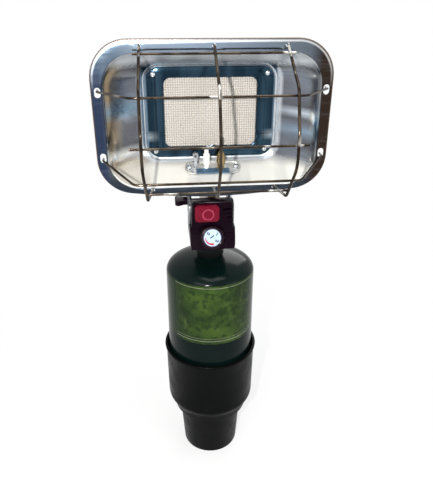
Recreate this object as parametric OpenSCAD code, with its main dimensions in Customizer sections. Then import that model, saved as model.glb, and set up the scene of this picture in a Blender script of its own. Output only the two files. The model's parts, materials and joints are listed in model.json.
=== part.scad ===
// Portable propane heater: a radiant head on a gas cylinder that stands in a stepped cup base.
// Millimetres. +Z is up, the heater faces -Y, and the origin is the centre of the foot.

/* [Gas cylinder] */
// Outer diameter of the cylinder
bottle_d = 99; // [94:0.5:104]
// Height of the straight side, from the bottom to the shoulder
bottle_side_h = 166.9; // [140:0.5:200]
// Height of the shoulder dome above the straight side
bottle_dome_h = 18.6; // [14:0.5:26]
// Steel wall of the cylinder
bottle_wall = 0.9; // [0.7:0.1:1.6]
// Diameter of the threaded neck
neck_d = 25.4; // [22:0.1:28]
// Height of the neck above the shoulder
neck_h = 18.6; // [17:0.1:24]

/* [Cup base] */
// Depth of the cup from the rim down to the seat of the cylinder
cup_depth = 67.4; // [40:0.1:80]
// Gap all round between the cylinder and the cup at the seat
cup_gap = 0.8; // [0.4:0.1:1.5]
// Wall of the cup
cup_wall = 1.6; // [1.4:0.1:2.4]
// How much wider the cup is at the rim than at the seat
cup_draft = 1.1; // [0:0.1:2]
// How far the rim lip stands out from the wall
rim_out = 1.6; // [0.8:0.1:3]
// Height of the rim lip
rim_h = 3; // [2:0.5:6]
// Height of the bowl between the lower tube and the cup
bowl_h = 22.3; // [18:0.1:34]
// How far the bowl tapers in below the seat
bowl_in = 7.3; // [6:0.1:9]
// Width of the step under the bowl
step_in = 6.6; // [4.5:0.1:10]
// Height of the lower tube that drops into a cup holder
foot_h = 61.6; // [45:0.1:80]
// How much the lower tube tapers in towards the foot
foot_taper = 4.25; // [2:0.05:6]

/* [Regulator and housing] */
// Height of the lower housing
housing_h = 29; // [28:0.5:36]
// Width of the lower housing
housing_w = 47; // [45:0.5:54]
// Depth of the lower housing behind the cylinder axis
housing_back = 24; // [23:0.5:28]
// Wall of the moulded housing
housing_wall = 1.8; // [1.4:0.1:2.2]
// Lean of the control panel from upright, in degrees
panel_lean = 20; // [12:1:24]
// Height of the button tower above the lower housing
tower_h = 30; // [28:0.5:34]
// Depth of the button tower from front to back
tower_d = 14; // [13.5:0.5:16]
// Radius of the socket that screws on the cylinder neck
socket_r = 15; // [14.8:0.1:18]
// Radial clearance of the socket on the neck
socket_gap = 0.15; // [0.1:0.01:0.3]

/* [Controls] */
// Radius of the control knob
knob_r = 12.4; // [11:0.1:13]
// Height of the control knob along its axis
knob_h = 9; // [8:0.5:13]
// Sideways place of the knob
knob_x = -1.5; // [-3:0.5:3]
// How far the knob is pushed in to light the pilot
knob_push = 2.5; // [1.5:0.1:3]
// Radius of the valve stem
stem_r = 3; // [2.5:0.1:3.4]
// Width of the ignition button
button_w = 24.6; // [20:0.2:25]
// Height of the ignition button
button_h = 17.5; // [14:0.5:19]
// Travel of the ignition button
button_travel = 3.5; // [2:0.1:3.6]
// Radius of the piezo igniter
piezo_r = 5.5; // [4.5:0.1:6]

/* [Tilt joint] */
// Height of the tilt axis above the housing
pivot_rise = 14.5; // [13.5:0.1:18]
// Distance of the tilt axis behind the cylinder axis
pivot_y = 12; // [10:0.5:13]
// Sheet of the tilt bracket
bracket_t = 2; // [1.5:0.1:2.5]
// Radius of the two pivot pins
pin_r = 3; // [2.5:0.1:3.5]
// Running clearance of pins and stems in their bores
run_gap = 0.06; // [0.03:0.01:0.09]
// Gap between faces that slide past each other
face_gap = 0.3; // [0.2:0.05:0.5]
// Reach of the wing knob out from the bracket
wing_reach = 13.7; // [11:0.1:18]

/* [Reflector] */
// Width over the reflector flange
flange_w = 219; // [205:1:235]
// Height over the reflector flange, without the bulge of its bottom edge
flange_h = 140.5; // [136:0.5:152]
// How far the bottom edge of the flange bulges down
flange_bulge = 5.5; // [2:0.5:9]
// Width of the flange strip at the sides
flange_strip = 10; // [9.4:0.1:12]
// Width of the flange strip at the top
flange_top = 11.7; // [9:0.1:13]
// Corner radius of the flange
flange_r = 34; // [30:1:40]
// Strip of the reflector floor beside the burner frame
floor_side = 2.8; // [2:0.1:6]
// Strip of the reflector floor above and below the burner frame
floor_above = 2.5; // [1.8:0.1:6]
// Depth of the reflector from flange to floor
dish_d = 37; // [32:0.5:46]
// Sheet of the reflector
sheet = 0.9; // [0.7:0.1:1.2]
// Exponent of the wall curve, 1 for straight walls
dish_curve = 1.4; // [1:0.05:1.8]
// Height of the head centre above the tilt axis
head_rise = 98.1; // [94:0.1:112]
// Distance of the flange in front of the cylinder axis
flange_front = 41; // [39:0.5:46]

/* [Burner] */
// Width of the ceramic plaque
plaque_w = 96; // [92:0.5:98]
// Height of the ceramic plaque
plaque_h = 72.5; // [68:0.5:74]
// Thickness of the ceramic plaque
plaque_t = 13; // [10:0.5:14]
// Visible edge of the plaque that the burner frame covers
frame_lap = 3; // [2:0.1:4]
// How far the burner frame reaches past the plaque at the sides
frame_side = 14.7; // [13:0.1:17]
// How far the burner frame reaches past the plaque above and below
frame_above = 7.75; // [7:0.05:10]
// Height of the burner frame above the reflector floor
frame_rise = 4; // [3:0.1:6]
// Depth of the plenum behind the reflector floor
plenum_d = 23; // [19:0.5:30]
// Radius of the throat of the mixing tube
throat_r = 5.5; // [4:0.1:6.5]

/* [Wire guard] */
// Radius of the upright wires
upright_r = 1.4; // [1.1:0.1:1.7]
// Radius of the cross wires
rail_r = 1.1; // [0.9:0.1:1.4]
// Distance of the outer uprights from the middle
upright_x = 66; // [58:0.5:72]
// How far the guard stands out in front of the flange
guard_out = 61; // [52:0.5:70]

/* [Pilot] */
// Length of the pilot bracket
pilot_w = 56; // [48:1:60]
// Height of the electrode insulator
insulator_h = 20; // [16:0.5:24]

/* [Hidden] */

$fn = 64;

touch = 0.1;           // gap between faces that rest on each other
cut = 1;               // how far a cutter runs past a face

bottle_r = bottle_d / 2;
neck_r = neck_d / 2;
seat_z = foot_h + bowl_h + 2.2;
rim_z = seat_z + cup_depth;
bottle_z = seat_z + touch;
shoulder_z = bottle_z + bottle_side_h;
dome_z = shoulder_z + bottle_dome_h;
neck_top = dome_z + neck_h;

// Heater body, from the top of the neck
low_z = -2;
top_z = low_z + housing_h;
tower_top = top_z + tower_h;
tower_front = -34;
tower_back = tower_front + tower_d;
tower_left = -21.8;
tower_right = 21.3;
panel_foot_y = -36.5;
panel_foot_z = low_z + 8;
panel_top_y = panel_foot_y + (top_z - panel_foot_z) * tan(panel_lean);
knob_z = panel_foot_z + 12.2;
knob_y = panel_foot_y + (knob_z - panel_foot_z) * tan(panel_lean);
chamber_y = 3;
chamber_z = 13.8;
chamber_r = 10.4;
chamber_screw_r = chamber_r - 1.3;
boss_x = 17.5;
boss_z = top_z - 4.2;
core_w = 16.4;
core_front = -24;
core_back = 18;
core_z1 = 22;
button_x = tower_left + 3.2 + button_w / 2;
button_z = top_z + 2.4 + 17;
button_out = 4.5;

pivot_z = top_z + pivot_rise;
ear_in = housing_w / 2 - bracket_t;
ear_out = housing_w / 2;
ear_r = 9;
head_ear_t = 1.5;
trunnion_r = 4;
trunnion_l = 20;
jet_y = pivot_y - 2;
jet_z = pivot_z + 12.5;

// Head, from the centre of the front face of the flange
head_z = neck_top + pivot_z + head_rise;
head_y = -flange_front;
mouth_w = flange_w - 2 * flange_strip;
mouth_top = flange_h / 2 + 2.75 - flange_top;
mouth_h = 124;
mouth_z = mouth_top - mouth_h / 2;
mouth_r = 29;
floor_r = 16;
floor_z = 1.2;
flange_z = 2.75;
slot_x = flange_w / 2 - 6;
slot_z = [28.4, -31.3];
slot_w = 5.6;
slot_l = 9;
plate_y = dish_d + sheet + touch;
frame_w = plaque_w + 2 * frame_side;
frame_h = plaque_h + 2 * frame_above;
floor_w = frame_w + 2 * floor_side;
floor_h = frame_h + 2 * floor_above;
screw_x = frame_w / 2 - 8.1;
screw_z = frame_h / 2 - 7;
plenum_w = 2 * screw_x - 3.2;
plenum_h = plaque_h + 9.5;
plenum_wall = 1;
stud_x = plenum_w / 2 - 13;
stud_z = floor_z + plenum_h / 2 - 17;
frame_y = dish_d - frame_rise;
plaque_y = frame_y + 2.8;
cover_back = plate_y + plenum_d + 9;
cover_wall = 1;
head_pivot_y = flange_front + pivot_y;
head_pivot_z = -head_rise;
tab_z = floor_z - plenum_h / 2 - touch;
louvre_z = [-27, -18, -9, 0, 9];

// Wire guard: side view of an upright as [forward, up], and its bend radii
guard_pts = [[-3, 67.6], [4, 66.6], [guard_out - 14, 39], [guard_out, 2],
    [guard_out - 1, -26], [guard_out - 23, -60], [-3, -64.6]];
guard_bends = [3, 14, 30, 30, 7];
guard_spread = [-1, -1, 0, 0, 0, -2.6, -7];
weld_gap = upright_r + rail_r + 0.05;
rail_end_x = upright_x + 8;

// Pilot: centre and slope of the bracket, and the places of what stands on it
pilot_y = 24;
pilot_slope = 31;
pilot_x = [-16, -5, 9.5];
pilot_t = 1.2;
insulator_x = pilot_x[1];

function unit(v) = v / norm(v);

// Points on an arc, with n steps
function arc(cx, cy, r, a0, a1, n) =
    [for (i = [0:n]) let (a = a0 + (a1 - a0) * i / n) [cx + r * cos(a), cy + r * sin(a)]];

// Rounded rectangle about the origin, n steps a corner
function rrect(w, h, r, n = 6) = concat(
    arc(w / 2 - r, h / 2 - r, r, 0, 90, n),
    arc(r - w / 2, h / 2 - r, r, 90, 180, n),
    arc(r - w / 2, r - h / 2, r, 180, 270, n),
    arc(w / 2 - r, r - h / 2, r, 270, 360, n));

// Slot with round ends along X
function stadium(l, w, n = 8) = concat(
    arc((l - w) / 2, 0, w / 2, -90, 90, n),
    arc((w - l) / 2, 0, w / 2, 90, 270, n));

// Points round the bend at b of a bar that runs a, b, c
function bend(a, b, c, r, n) =
    let (u = unit(a - b), v = unit(c - b), turn = 180 - acos(u * v),
        back = r * tan(turn / 2), o = b + unit(u + v) * r / cos(turn / 2),
        e0 = b + u * back - o, e1 = b + v * back - o)
    [for (i = [0:n]) let (t = i / n)
        o + (sin((1 - t) * turn) * e0 + sin(t * turn) * e1) / sin(turn)];

// Centre line of a bar through points, with a radius at each bend
function bar(pts, radii, n) = concat([pts[0]],
    [for (i = [1:len(pts) - 2]) each bend(pts[i - 1], pts[i], pts[i + 1], radii[i - 1], n)],
    [pts[len(pts) - 1]]);

// Unit tangent of a route at point i
function heading(p, i) =
    unit(p[min(i + 1, len(p) - 1)] - p[max(i - 1, 0)]);

// Closed skin over rings that each have n points; caps close the two ends
module skin(rings, capped) {
    n = len(rings[0]);
    m = len(rings);
    last = capped ? m - 2 : m - 1;
    walls = [for (i = [0:last]) for (j = [0:n - 1])
        let (a = i * n + j, b = i * n + (j + 1) % n,
            c = ((i + 1) % m) * n + (j + 1) % n, d = ((i + 1) % m) * n + j)
        each [[a, b, c], [a, c, d]]];
    caps = capped ? [[for (j = [n - 1:-1:0]) j], [for (j = [0:n - 1]) (m - 1) * n + j]] : [];
    polyhedron(points = [for (r = rings) each r], faces = concat(walls, caps));
}

// Round bar along a route; side is a direction that the route never takes
module tube(path, r, side, n = 10) {
    rings = [for (i = [0:len(path) - 1])
        let (t = heading(path, i), s = unit(cross(t, side)), q = cross(s, t))
        [for (j = [0:n - 1]) let (a = -360 * j / n) path[i] + r * (cos(a) * q + sin(a) * s)]];
    skin(rings, true);
}

// Coil spring from z0 up by h
module coil(radius, wire, h, turns, n = 12) {
    path = [for (i = [0:n * turns]) let (a = 360 * i / n)
        [radius * cos(a), radius * sin(a), h * i / (n * turns)]];
    tube(path, wire, [0, 0, 1], 6);
}

// Cylinder along X from x0 to x1
module rod_x(r, x0, x1, y = 0, z = 0) {
    translate([x0, y, z]) rotate([0, 90, 0]) cylinder(r = r, h = x1 - x0);
}

// Cylinder along Y from y0 to y1
module rod_y(r, y0, y1, x = 0, z = 0) {
    translate([x, y0, z]) rotate([-90, 0, 0]) cylinder(r = r, h = y1 - y0);
}

// Plate with an outline in X and Z, from y0 to y1
module plate_y(pts, y0, y1) {
    translate([0, y1, 0]) rotate([90, 0, 0]) linear_extrude(y1 - y0) polygon(pts);
}

// Plate with an outline in Y and Z, from x0 to x1
module plate_x(pts, x0, x1) {
    translate([x0, 0, 0]) rotate([90, 0, 90]) linear_extrude(x1 - x0) polygon(pts);
}

module at_heater() {
    translate([0, 0, neck_top]) children();
}

module at_head() {
    translate([0, head_y, head_z]) children();
}

// Frame of the knob: +Z is out of the control panel
module at_panel() {
    translate([knob_x, knob_y, knob_z]) rotate([90 - panel_lean, 0, 0]) children();
}

function shift(pts, dx, dy) = [for (p = pts) [p[0] + dx, p[1] + dy]];

// ---- Base ----

module cup_base() {
    r_seat = bottle_r + cup_gap;
    r_bowl = r_seat + cup_wall;
    r_step = r_bowl - bowl_in;
    r_foot = r_step - step_in;
    r_low = r_foot - foot_taper;
    w = cup_wall + 0.6;
    bowl_z = foot_h + bowl_h;
    color("#26282a") rotate_extrude() polygon([
        [0, 0], [r_low - 0.8, 0], [r_low, 0.8], [r_foot, foot_h],
        [r_step - 0.8, foot_h], [r_step, foot_h + 0.8],
        [r_bowl - 4.6, bowl_z - 9.5], [r_bowl, bowl_z],
        [r_bowl + cup_draft, rim_z - rim_h], [r_bowl + cup_draft + rim_out, rim_z - rim_h + 0.3],
        [r_bowl + cup_draft + rim_out, rim_z - 0.8], [r_bowl + cup_draft + rim_out - 0.8, rim_z],
        [r_seat + cup_draft, rim_z], [r_seat, seat_z], [r_bowl - 4.6 - w, seat_z],
        [r_bowl - 4.8 - w, bowl_z - 9.5], [r_step - w, foot_h + w],
        [r_foot - w, foot_h + w], [r_low - w + 0.2, w + 0.3], [0, w + 0.3]]);
}

// ---- Gas cylinder ----

// Shoulder as a flattened dome, from the straight side in to radius r1
function dome(r, h, z, r1, n) =
    let (a1 = acos(pow(r1 / r, 1.1)))
    [for (i = [0:n]) let (a = a1 * i / n)
        [r * pow(cos(a), 1 / 1.1), z + h * pow(sin(a), 1 / 1.1) / pow(sin(a1), 1 / 1.1)]];

module fuel_cylinder() {
    r = bottle_r;
    t = bottle_wall;
    neck = neck_r + 1.6;
    color("#1c3a2c") rotate_extrude($fn = 96) polygon(concat(
        [[0, bottle_z + 7], [14, bottle_z + 6.4], [26, bottle_z + 4.4], [36, bottle_z + 0.9],
            [39, bottle_z], [r - 4, bottle_z], [r - 1.2, bottle_z + 1.2], [r, bottle_z + 4]],
        dome(r, bottle_dome_h, shoulder_z, neck, 12),
        [[neck_r - 1.2, dome_z], [neck_r - 1.2, dome_z - t]],
        [for (i = [12:-1:0]) dome(r - t, bottle_dome_h, shoulder_z - t, neck, 12)[i]],
        [[r - t, bottle_z + 4.2], [r - 1.8, bottle_z + 1.2 + t], [r - 4.2, bottle_z + t],
            [39.2, bottle_z + t], [36.3, bottle_z + 0.9 + t], [26, bottle_z + 4.4 + t],
            [14, bottle_z + 6.4 + t], [0, bottle_z + 7 + t]]));
}

module cylinder_valve() {
    color("#b9a36a") difference() {
        union() {
            translate([0, 0, dome_z + touch]) cylinder(r = neck_r, h = neck_h - touch);
            translate([0, 0, dome_z + touch]) cylinder(r = neck_r + 1.4, h = 1.6);
            translate([0, 0, dome_z - 8]) cylinder(r = neck_r - 1.5, h = 9);
        }
        translate([0, 0, dome_z - 9]) cylinder(r = 4, h = neck_h + 20);
        translate([0, 0, neck_top - 5]) cylinder(r = 5.6, h = 6);
        translate([8.8, 0, neck_top - 9]) cylinder(r = 2, h = 10);
    }
}

module valve_core() {
    color("#c9b27a") translate([0, 0, dome_z - 6]) {
        cylinder(r = 4 - touch, h = neck_h);
        cylinder(r = 1.2, h = neck_h + 3.5);
    }
}

module relief_valve() {
    color("#9c8b5a") translate([8.8, 0, neck_top - 9 + touch]) cylinder(r = 2 - touch, h = 8.4);
}

// ---- Regulator ----

module regulator_body() {
    color("#2b2d2f") at_heater() difference() {
        union() {
            translate([0, 0, -16]) cylinder(r = socket_r, h = 19);
            translate([0, 0, 2.2]) linear_extrude(core_z1 - 2.2)
                polygon(shift(rrect(core_w, core_back - core_front, 3), 0, (core_back + core_front) / 2));
            rod_x(chamber_r, core_w / 2 - 1, 11, chamber_y, chamber_z);
            rod_x(6.5, -core_w / 2 - 3, 0, chamber_y, chamber_z);
        }
        translate([0, 0, -16 - cut]) cylinder(r = neck_r + socket_gap, h = 17.6 + cut);
        translate([0, 0, 1]) cylinder(r = 1.6, h = 9);
        rod_x(7.6, core_w / 2 + 0.4, 12, chamber_y, chamber_z);
        rod_x(4.4, -core_w / 2 - 4, -core_w / 2 + 5, chamber_y, chamber_z);
        rod_x(1.4, -core_w / 2 + 2, core_w / 2 + 2, chamber_y, chamber_z - 3);
        translate([0, pivot_y, core_z1 - 8]) cylinder(r = 3, h = 9);
        translate([knob_x, knob_y, knob_z]) rotate([90 - panel_lean, 0, 0])
            translate([0, 0, -22]) cylinder(r = stem_r + run_gap, h = 30);
        for (x = [-1, 1]) translate([x * 5.4, 3.4, core_z1 - 3.6]) cylinder(r = 1.3, h = 5);
        for (a = [45:90:315]) translate([8, chamber_y + chamber_screw_r * cos(a),
            chamber_z + chamber_screw_r * sin(a)])
            rotate([0, 90, 0]) cylinder(r = 0.8, h = 4);
    }
}

module inlet_seal() {
    color("#161616") at_heater() translate([0, 0, 0.8])
        rotate_extrude() translate([neck_r - 2.4, 0]) circle(r = 0.7, $fn = 24);
}

module inlet_pin() {
    color("#c9b27a") at_heater() translate([0, 0, -2.3]) cylinder(r = 1.5, h = 9);
}

module diaphragm() {
    color("#3a3a3a") at_heater() difference() {
        rod_x(chamber_r, 11 + touch, 11.9, chamber_y, chamber_z);
        for (a = [45:90:315]) translate([10, chamber_y + chamber_screw_r * cos(a),
            chamber_z + chamber_screw_r * sin(a)])
            rotate([0, 90, 0]) cylinder(r = 0.9, h = 3);
    }
}

module diaphragm_cover() {
    color("#9aa0a6") at_heater() difference() {
        union() {
            rod_x(chamber_r, 12, 13.4, chamber_y, chamber_z);
            rod_x(5.6, 13, 20, chamber_y, chamber_z);
        }
        rod_x(4.6, 11, 18.8, chamber_y, chamber_z);
        for (a = [45:90:315]) translate([11, chamber_y + chamber_screw_r * cos(a),
            chamber_z + chamber_screw_r * sin(a)])
            rotate([0, 90, 0]) cylinder(r = 0.9, h = 3);
    }
}

module diaphragm_spring() {
    color("#c8ccd0") at_heater() translate([12.5, chamber_y, chamber_z]) rotate([0, 90, 0])
        coil(3.7, 0.5, 5.7, 4);
}

module diaphragm_screws() {
    color("#c8ccd0") at_heater()
        for (a = [45:90:315]) translate([0, chamber_y + chamber_screw_r * cos(a),
            chamber_z + chamber_screw_r * sin(a)]) {
            rod_x(0.75, 8.5, 13.6);
            rod_x(1.25, 13.4 + touch, 14.4);
        }
}

module safety_valve() {
    color("#b08d57") at_heater() {
        rod_x(4.3, -19.4, -core_w / 2 + 4, chamber_y, chamber_z);
        rod_x(5.4, -20.4, -core_w / 2 - 4, chamber_y, chamber_z);
    }
}

module tip_switch() {
    color("#e6e2d8") at_heater() translate([-14.6, -14, low_z + housing_wall + touch]) {
        cylinder(r = 5, h = 17);
        cylinder(r = 3, h = 20);
    }
}

module gas_riser() {
    color("#b08d57") at_heater() difference() {
        union() {
            translate([0, pivot_y, core_z1 - 7.5]) cylinder(r = 2.9, h = pivot_z - core_z1 + 7.5);
            translate([0, pivot_y, core_z1 + touch]) cylinder(r = 4.6, h = 3, $fn = 6);
            rod_x(trunnion_r, -trunnion_l / 2, trunnion_l / 2, pivot_y, pivot_z);
        }
        translate([0, pivot_y, core_z1 - 9]) cylinder(r = 1.3, h = pivot_z - core_z1 + 9);
        rod_x(1.5, -trunnion_l / 2 + 2, trunnion_l / 2 - 2, pivot_y, pivot_z);
    }
}

// ---- Housing ----

// Lower housing and button tower, drawn in by t for the hollow inside
module housing_form(t) {
    low = [[panel_foot_y + t / cos(panel_lean) - t * tan(panel_lean) * 0.2, panel_foot_z + t * 0.4],
        [-22 + t, low_z + t], [housing_back - 6 - t / 2, low_z + t],
        [housing_back - t, low_z + 6 + t / 2], [housing_back - t, top_z - t],
        [panel_top_y + t * (1 / cos(panel_lean) - tan(panel_lean)), top_z - t]];
    intersection() {
        plate_x(low, -housing_w / 2 + t, housing_w / 2 - t);
        translate([0, 0, low_z - 1]) linear_extrude(housing_h + 2)
            polygon(shift(rrect(housing_w - 2 * t, housing_back + 44 - 2 * t, 11 - t), 0,
                (housing_back - 44) / 2));
    }
    tower = shift(rrect(tower_right - tower_left - 2 * t, tower_d - 2 * t, 4 - t, 4),
        (tower_left + tower_right) / 2, (tower_front + tower_back) / 2);
    side = [[tower_front + t, top_z + 3 + t / 2], [tower_front + t, tower_top - t],
        [tower_back - t, tower_top - t], [tower_back - t, top_z - 10],
        [panel_top_y + t, top_z - 10], [panel_top_y - 3 + t, top_z - 4 + t / 2]];
    intersection() {
        translate([0, 0, top_z - 12]) linear_extrude(tower_h + 14) polygon(tower);
        plate_x(side, -housing_w, housing_w);
    }
}

// Space that the knob turns in, cut into the foot of the tower
module knob_pocket(t) {
    at_panel() translate([0, 0, -t]) cylinder(r = knob_r + 0.8 + t, h = 30);
}

module housing_shell() {
    difference() {
        housing_form(0);
        difference() {
            housing_form(housing_wall);
            knob_pocket(housing_wall);
        }
        knob_pocket(0);
        // Socket, riser, button, stem, piezo and bracket screws
        translate([0, 0, low_z - cut]) cylinder(r = socket_r + 0.2, h = 4);
        translate([0, pivot_y, top_z - 4]) cylinder(r = 4.9, h = 8);
        plate_y(shift(rrect(button_w + 0.6, button_h + 0.6, 4, 5), button_x, button_z),
            tower_front - cut, tower_front + housing_wall + cut);
        at_panel() translate([0, 0, -5]) cylinder(r = stem_r + 1, h = 8);
        rod_y(piezo_r + touch, tower_back - 4, tower_back + 3, button_x, button_z);
        for (x = [-1, 1]) translate([x * 5.4, 3.4, top_z - 4]) cylinder(r = 1.6, h = 8);
        // Finger ribs on the right of the tower
        for (i = [0:3]) translate([tower_right - 1, tower_front - 1, top_z + 8 + i * 4.6])
            cube([3, tower_d + 2, 2]);
        for (i = [0:3]) translate([tower_right - 11, tower_front - 1, top_z + 8 + i * 4.6])
            cube([13, 1.8, 2]);
        for (x = [-boss_x, boss_x]) rod_y(2.3, housing_back - 2.4, housing_back + 2, x, boss_z);
        for (x = [-boss_x, boss_x]) rod_y(1.1, housing_back - 8, housing_back + 2, x, boss_z);
    }
}

// Screw bosses that join the two shells
module boss(x, y0, y1) {
    difference() {
        rod_y(3.2, y0, y1, x, boss_z);
        rod_y(1.2, y0 - cut, y1 + cut, x, boss_z);
    }
}

module housing_front() {
    color("#1d1e20") at_heater() {
        intersection() {
            housing_shell();
            translate([-40, -60, -20]) cube([80, 60 - touch / 2, 120]);
        }
        for (x = [-boss_x, boss_x]) boss(x, -9, -touch / 2);
    }
}

module housing_rear() {
    color("#1d1e20") at_heater() {
        intersection() {
            housing_shell();
            translate([-40, touch / 2, -20]) cube([80, 60, 120]);
        }
        for (x = [-boss_x, boss_x]) boss(x, touch / 2, housing_back - 2.4);
    }
}

module housing_screws() {
    color("#c8ccd0") at_heater() for (x = [-boss_x, boss_x]) {
        rod_y(1, -7, housing_back - 2, x, boss_z);
        rod_y(2.1, housing_back - 2.3, housing_back - 0.7, x, boss_z);
    }
}

// ---- Controls ----

module valve_stem() {
    color("#b08d57") at_heater() at_panel() {
        translate([0, 0, -20]) cylinder(r = stem_r, h = 20 + knob_push + knob_h - 3);
    }
}

module control_knob() {
    z0 = knob_push + 0.4;
    color("#232326") at_heater() at_panel() difference() {
        union() {
            translate([0, 0, z0]) cylinder(r = knob_r, h = knob_h - 1.2);
            translate([0, 0, z0 + knob_h - 1.2]) cylinder(r1 = knob_r, r2 = knob_r - 1.2, h = 1.2);
        }
        translate([0, 0, z0 - cut]) cylinder(r = stem_r + run_gap, h = knob_h - 0.4 + cut);
        difference() {
            translate([0, 0, z0 - cut]) cylinder(r = knob_r - 2, h = 4 + cut);
            translate([0, 0, z0 - cut]) cylinder(r = stem_r + 2, h = 6 + cut);
        }
        translate([0, 0, z0 + knob_h - 0.6]) cylinder(r = knob_r - 2.6, h = 2);
        for (i = [0:11]) rotate([0, 0, i * 30 + 15]) translate([knob_r + 1.1, 0, z0 - cut])
            cylinder(r = 1.7, h = knob_h + 2 * cut, $fn = 24);
    }
}

module dial_plate() {
    color("#c9dbe6") at_heater() at_panel()
        translate([0, 0, knob_push + knob_h - 0.1]) cylinder(r = knob_r - 2.75, h = 0.5);
}

module ignition_button() {
    y0 = tower_front - button_out;
    inner = tower_front + housing_wall;
    color("#b3143a") at_heater() difference() {
        union() {
            plate_y(shift(rrect(button_w, button_h, 3.7, 5), button_x, button_z), y0 + 0.8, inner + 1.4);
            plate_y(shift(rrect(button_w - 1.6, button_h - 1.6, 2.9, 5), button_x, button_z), y0, y0 + 1);
            plate_y(shift(rrect(button_w + 1.5, button_h - 0.5, 2, 5), button_x + 1.2,
                button_z - 1.2), inner + touch, inner + 1.3);
            rod_y(6, y0 - 0.7, y0 + 1, button_x, button_z);
            rod_y(2.3, inner, inner + 5.4, button_x, button_z);
        }
        rod_y(4.9, y0 - 2, y0 - 0.1, button_x, button_z);
        difference() {
            rod_y(8.2, y0 + 2.2, inner + 3, button_x, button_z);
            rod_y(2.9, y0, inner + 4, button_x, button_z);
        }
    }
}

module button_spring() {
    y0 = tower_front + housing_wall - 3.4;
    color("#c8ccd0") at_heater() translate([button_x, y0, button_z]) rotate([-90, 0, 0])
        coil(7.1, 0.45, tower_back - housing_wall - y0 - 0.6, 3);
}

module piezo_igniter() {
    y0 = tower_back - 5;
    color("#e9e5dc") at_heater() difference() {
        union() {
            rod_y(piezo_r, y0, pivot_y - 12, button_x, button_z);
            rod_y(2.2, pivot_y - 12.2, pivot_y - 10.6, button_x, button_z);
        }
        rod_y(2.4, y0 - 1, y0 + 9, button_x, button_z);
    }
}

// ---- Tilt joint ----

module tilt_bracket() {
    ear = concat(
        [[-19.4, top_z + 0.2], [20.5, top_z + 0.2]],
        arc(pivot_y, pivot_z, ear_r + 0.5, -10, 100, 8),
        [[-14, top_z + 22.5], [-18.4, top_z + 21], [-19.4, top_z + 19.4]]);
    color("#a9adb0") at_heater() difference() {
        union() {
            plate_x(ear, -ear_out, -ear_in);
            plate_x(ear, ear_in, ear_out);
            translate([-ear_out, 0, top_z + 0.2]) cube([2 * ear_out, 20.5, bracket_t]);
        }
        rod_x(pin_r + run_gap, -ear_out - cut, ear_out + cut, pivot_y, pivot_z);
        translate([0, pivot_y, top_z - 1]) cylinder(r = 3.4, h = 6);
        for (x = [-1, 1]) translate([x * 5.4, 3.4, top_z - 1]) cylinder(r = 1.5, h = 6);
    }
}

module bracket_screws() {
    color("#c8ccd0") at_heater() for (x = [-1, 1]) {
        translate([x * 5.4, 3.4, core_z1 - 3.4]) cylinder(r = 1.2, h = top_z - core_z1 + 6.4);
        translate([x * 5.4, 3.4, top_z + 0.2 + bracket_t + touch]) cylinder(r = 2.4, h = 1.5);
    }
}

module pivot_rivet() {
    color("#c8ccd0") at_heater() {
        rod_x(pin_r, ear_in - head_ear_t - 2, ear_out + 0.6, pivot_y, pivot_z);
        rod_x(pin_r + 2, ear_out + touch, ear_out + 1.3, pivot_y, pivot_z);
    }
}

module clamp_screw() {
    color("#c8ccd0") at_heater()
        rod_x(pin_r, -ear_out - 4, -ear_in + head_ear_t + 2, pivot_y, pivot_z);
}

module wing_knob() {
    x1 = -ear_out - face_gap;
    x0 = -ear_out - wing_reach;
    wing = concat(arc(x0 + 4, 4.5, 4, 90, 180, 5), arc(x0 + 4, -4.5, 4, 180, 270, 5),
        [[x1 - 3.2, -5.2], [x1 - 1.8, -4], [x1 - 1.8, 4], [x1 - 3.2, 5.2]]);
    color("#161718") at_heater() translate([0, pivot_y, pivot_z]) difference() {
        union() {
            translate([0, 0, -2.7]) linear_extrude(5.4) polygon(wing);
            rod_x(4.6, x1 - 4.6, x1);
        }
        rod_x(pin_r, x1 - 3.8, x1 + cut);
    }
}

// ---- Head carrier and gas train ----

module head_bracket() {
    z1 = head_rise + tab_z;
    ear = concat(arc(0, 0, ear_r, 180, 360, 12), [[ear_r + 1, z1 - 12], [ear_r + 1, z1],
        [-14, z1], [-14, z1 - 12], [-ear_r, z1 - 24]]);
    x1 = ear_in - face_gap;
    color("#8f9498") at_heater() translate([0, pivot_y, pivot_z]) difference() {
        union() {
            plate_x(ear, -x1, -x1 + head_ear_t);
            plate_x(ear, x1 - head_ear_t, x1);
            translate([-x1, -8.5, 14.2]) cube([2 * x1, 18, 1.5]);
            translate([-x1, -14, z1 - 1.5]) cube([8, ear_r + 15, 1.5]);
            translate([x1 - 8, -14, z1 - 1.5]) cube([8, ear_r + 15, 1.5]);
        }
        rod_x(pin_r + run_gap, -x1 - cut, x1 + cut);
        translate([0, jet_y - pivot_y, 12]) cylinder(r = 3.1, h = 6);
    }
}

module jet_holder() {
    half = trunnion_l / 2;
    color("#b08d57") at_heater() translate([0, pivot_y, pivot_z]) difference() {
        union() {
            for (x = [-half, 4.4]) rod_x(7.2, x, x + half - 4.4);
            translate([-half, -7.2, 6.4]) cube([2 * half, 14.4, 7.7]);
            for (x = [-half, 4.4]) translate([x, -7.2, 0]) cube([half - 4.4, 14.4, 7]);
        }
        rod_x(trunnion_r + run_gap, -half - cut, half + cut);
        translate([0, jet_y - pivot_y, 5]) cylinder(r = 2, h = 10);
    }
}

module gas_jet() {
    color("#c9a45a") at_heater() translate([0, jet_y, pivot_z + 8]) difference() {
        union() {
            cylinder(r = 1.9, h = 6.4);
            translate([0, 0, 6.2]) cylinder(r = 2.9, h = 2.6);
            translate([0, 0, 8.6]) cylinder(r1 = 2, r2 = 1.4, h = 2);
        }
        translate([0, 0, -cut]) cylinder(r = 0.4, h = 13);
    }
}

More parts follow.
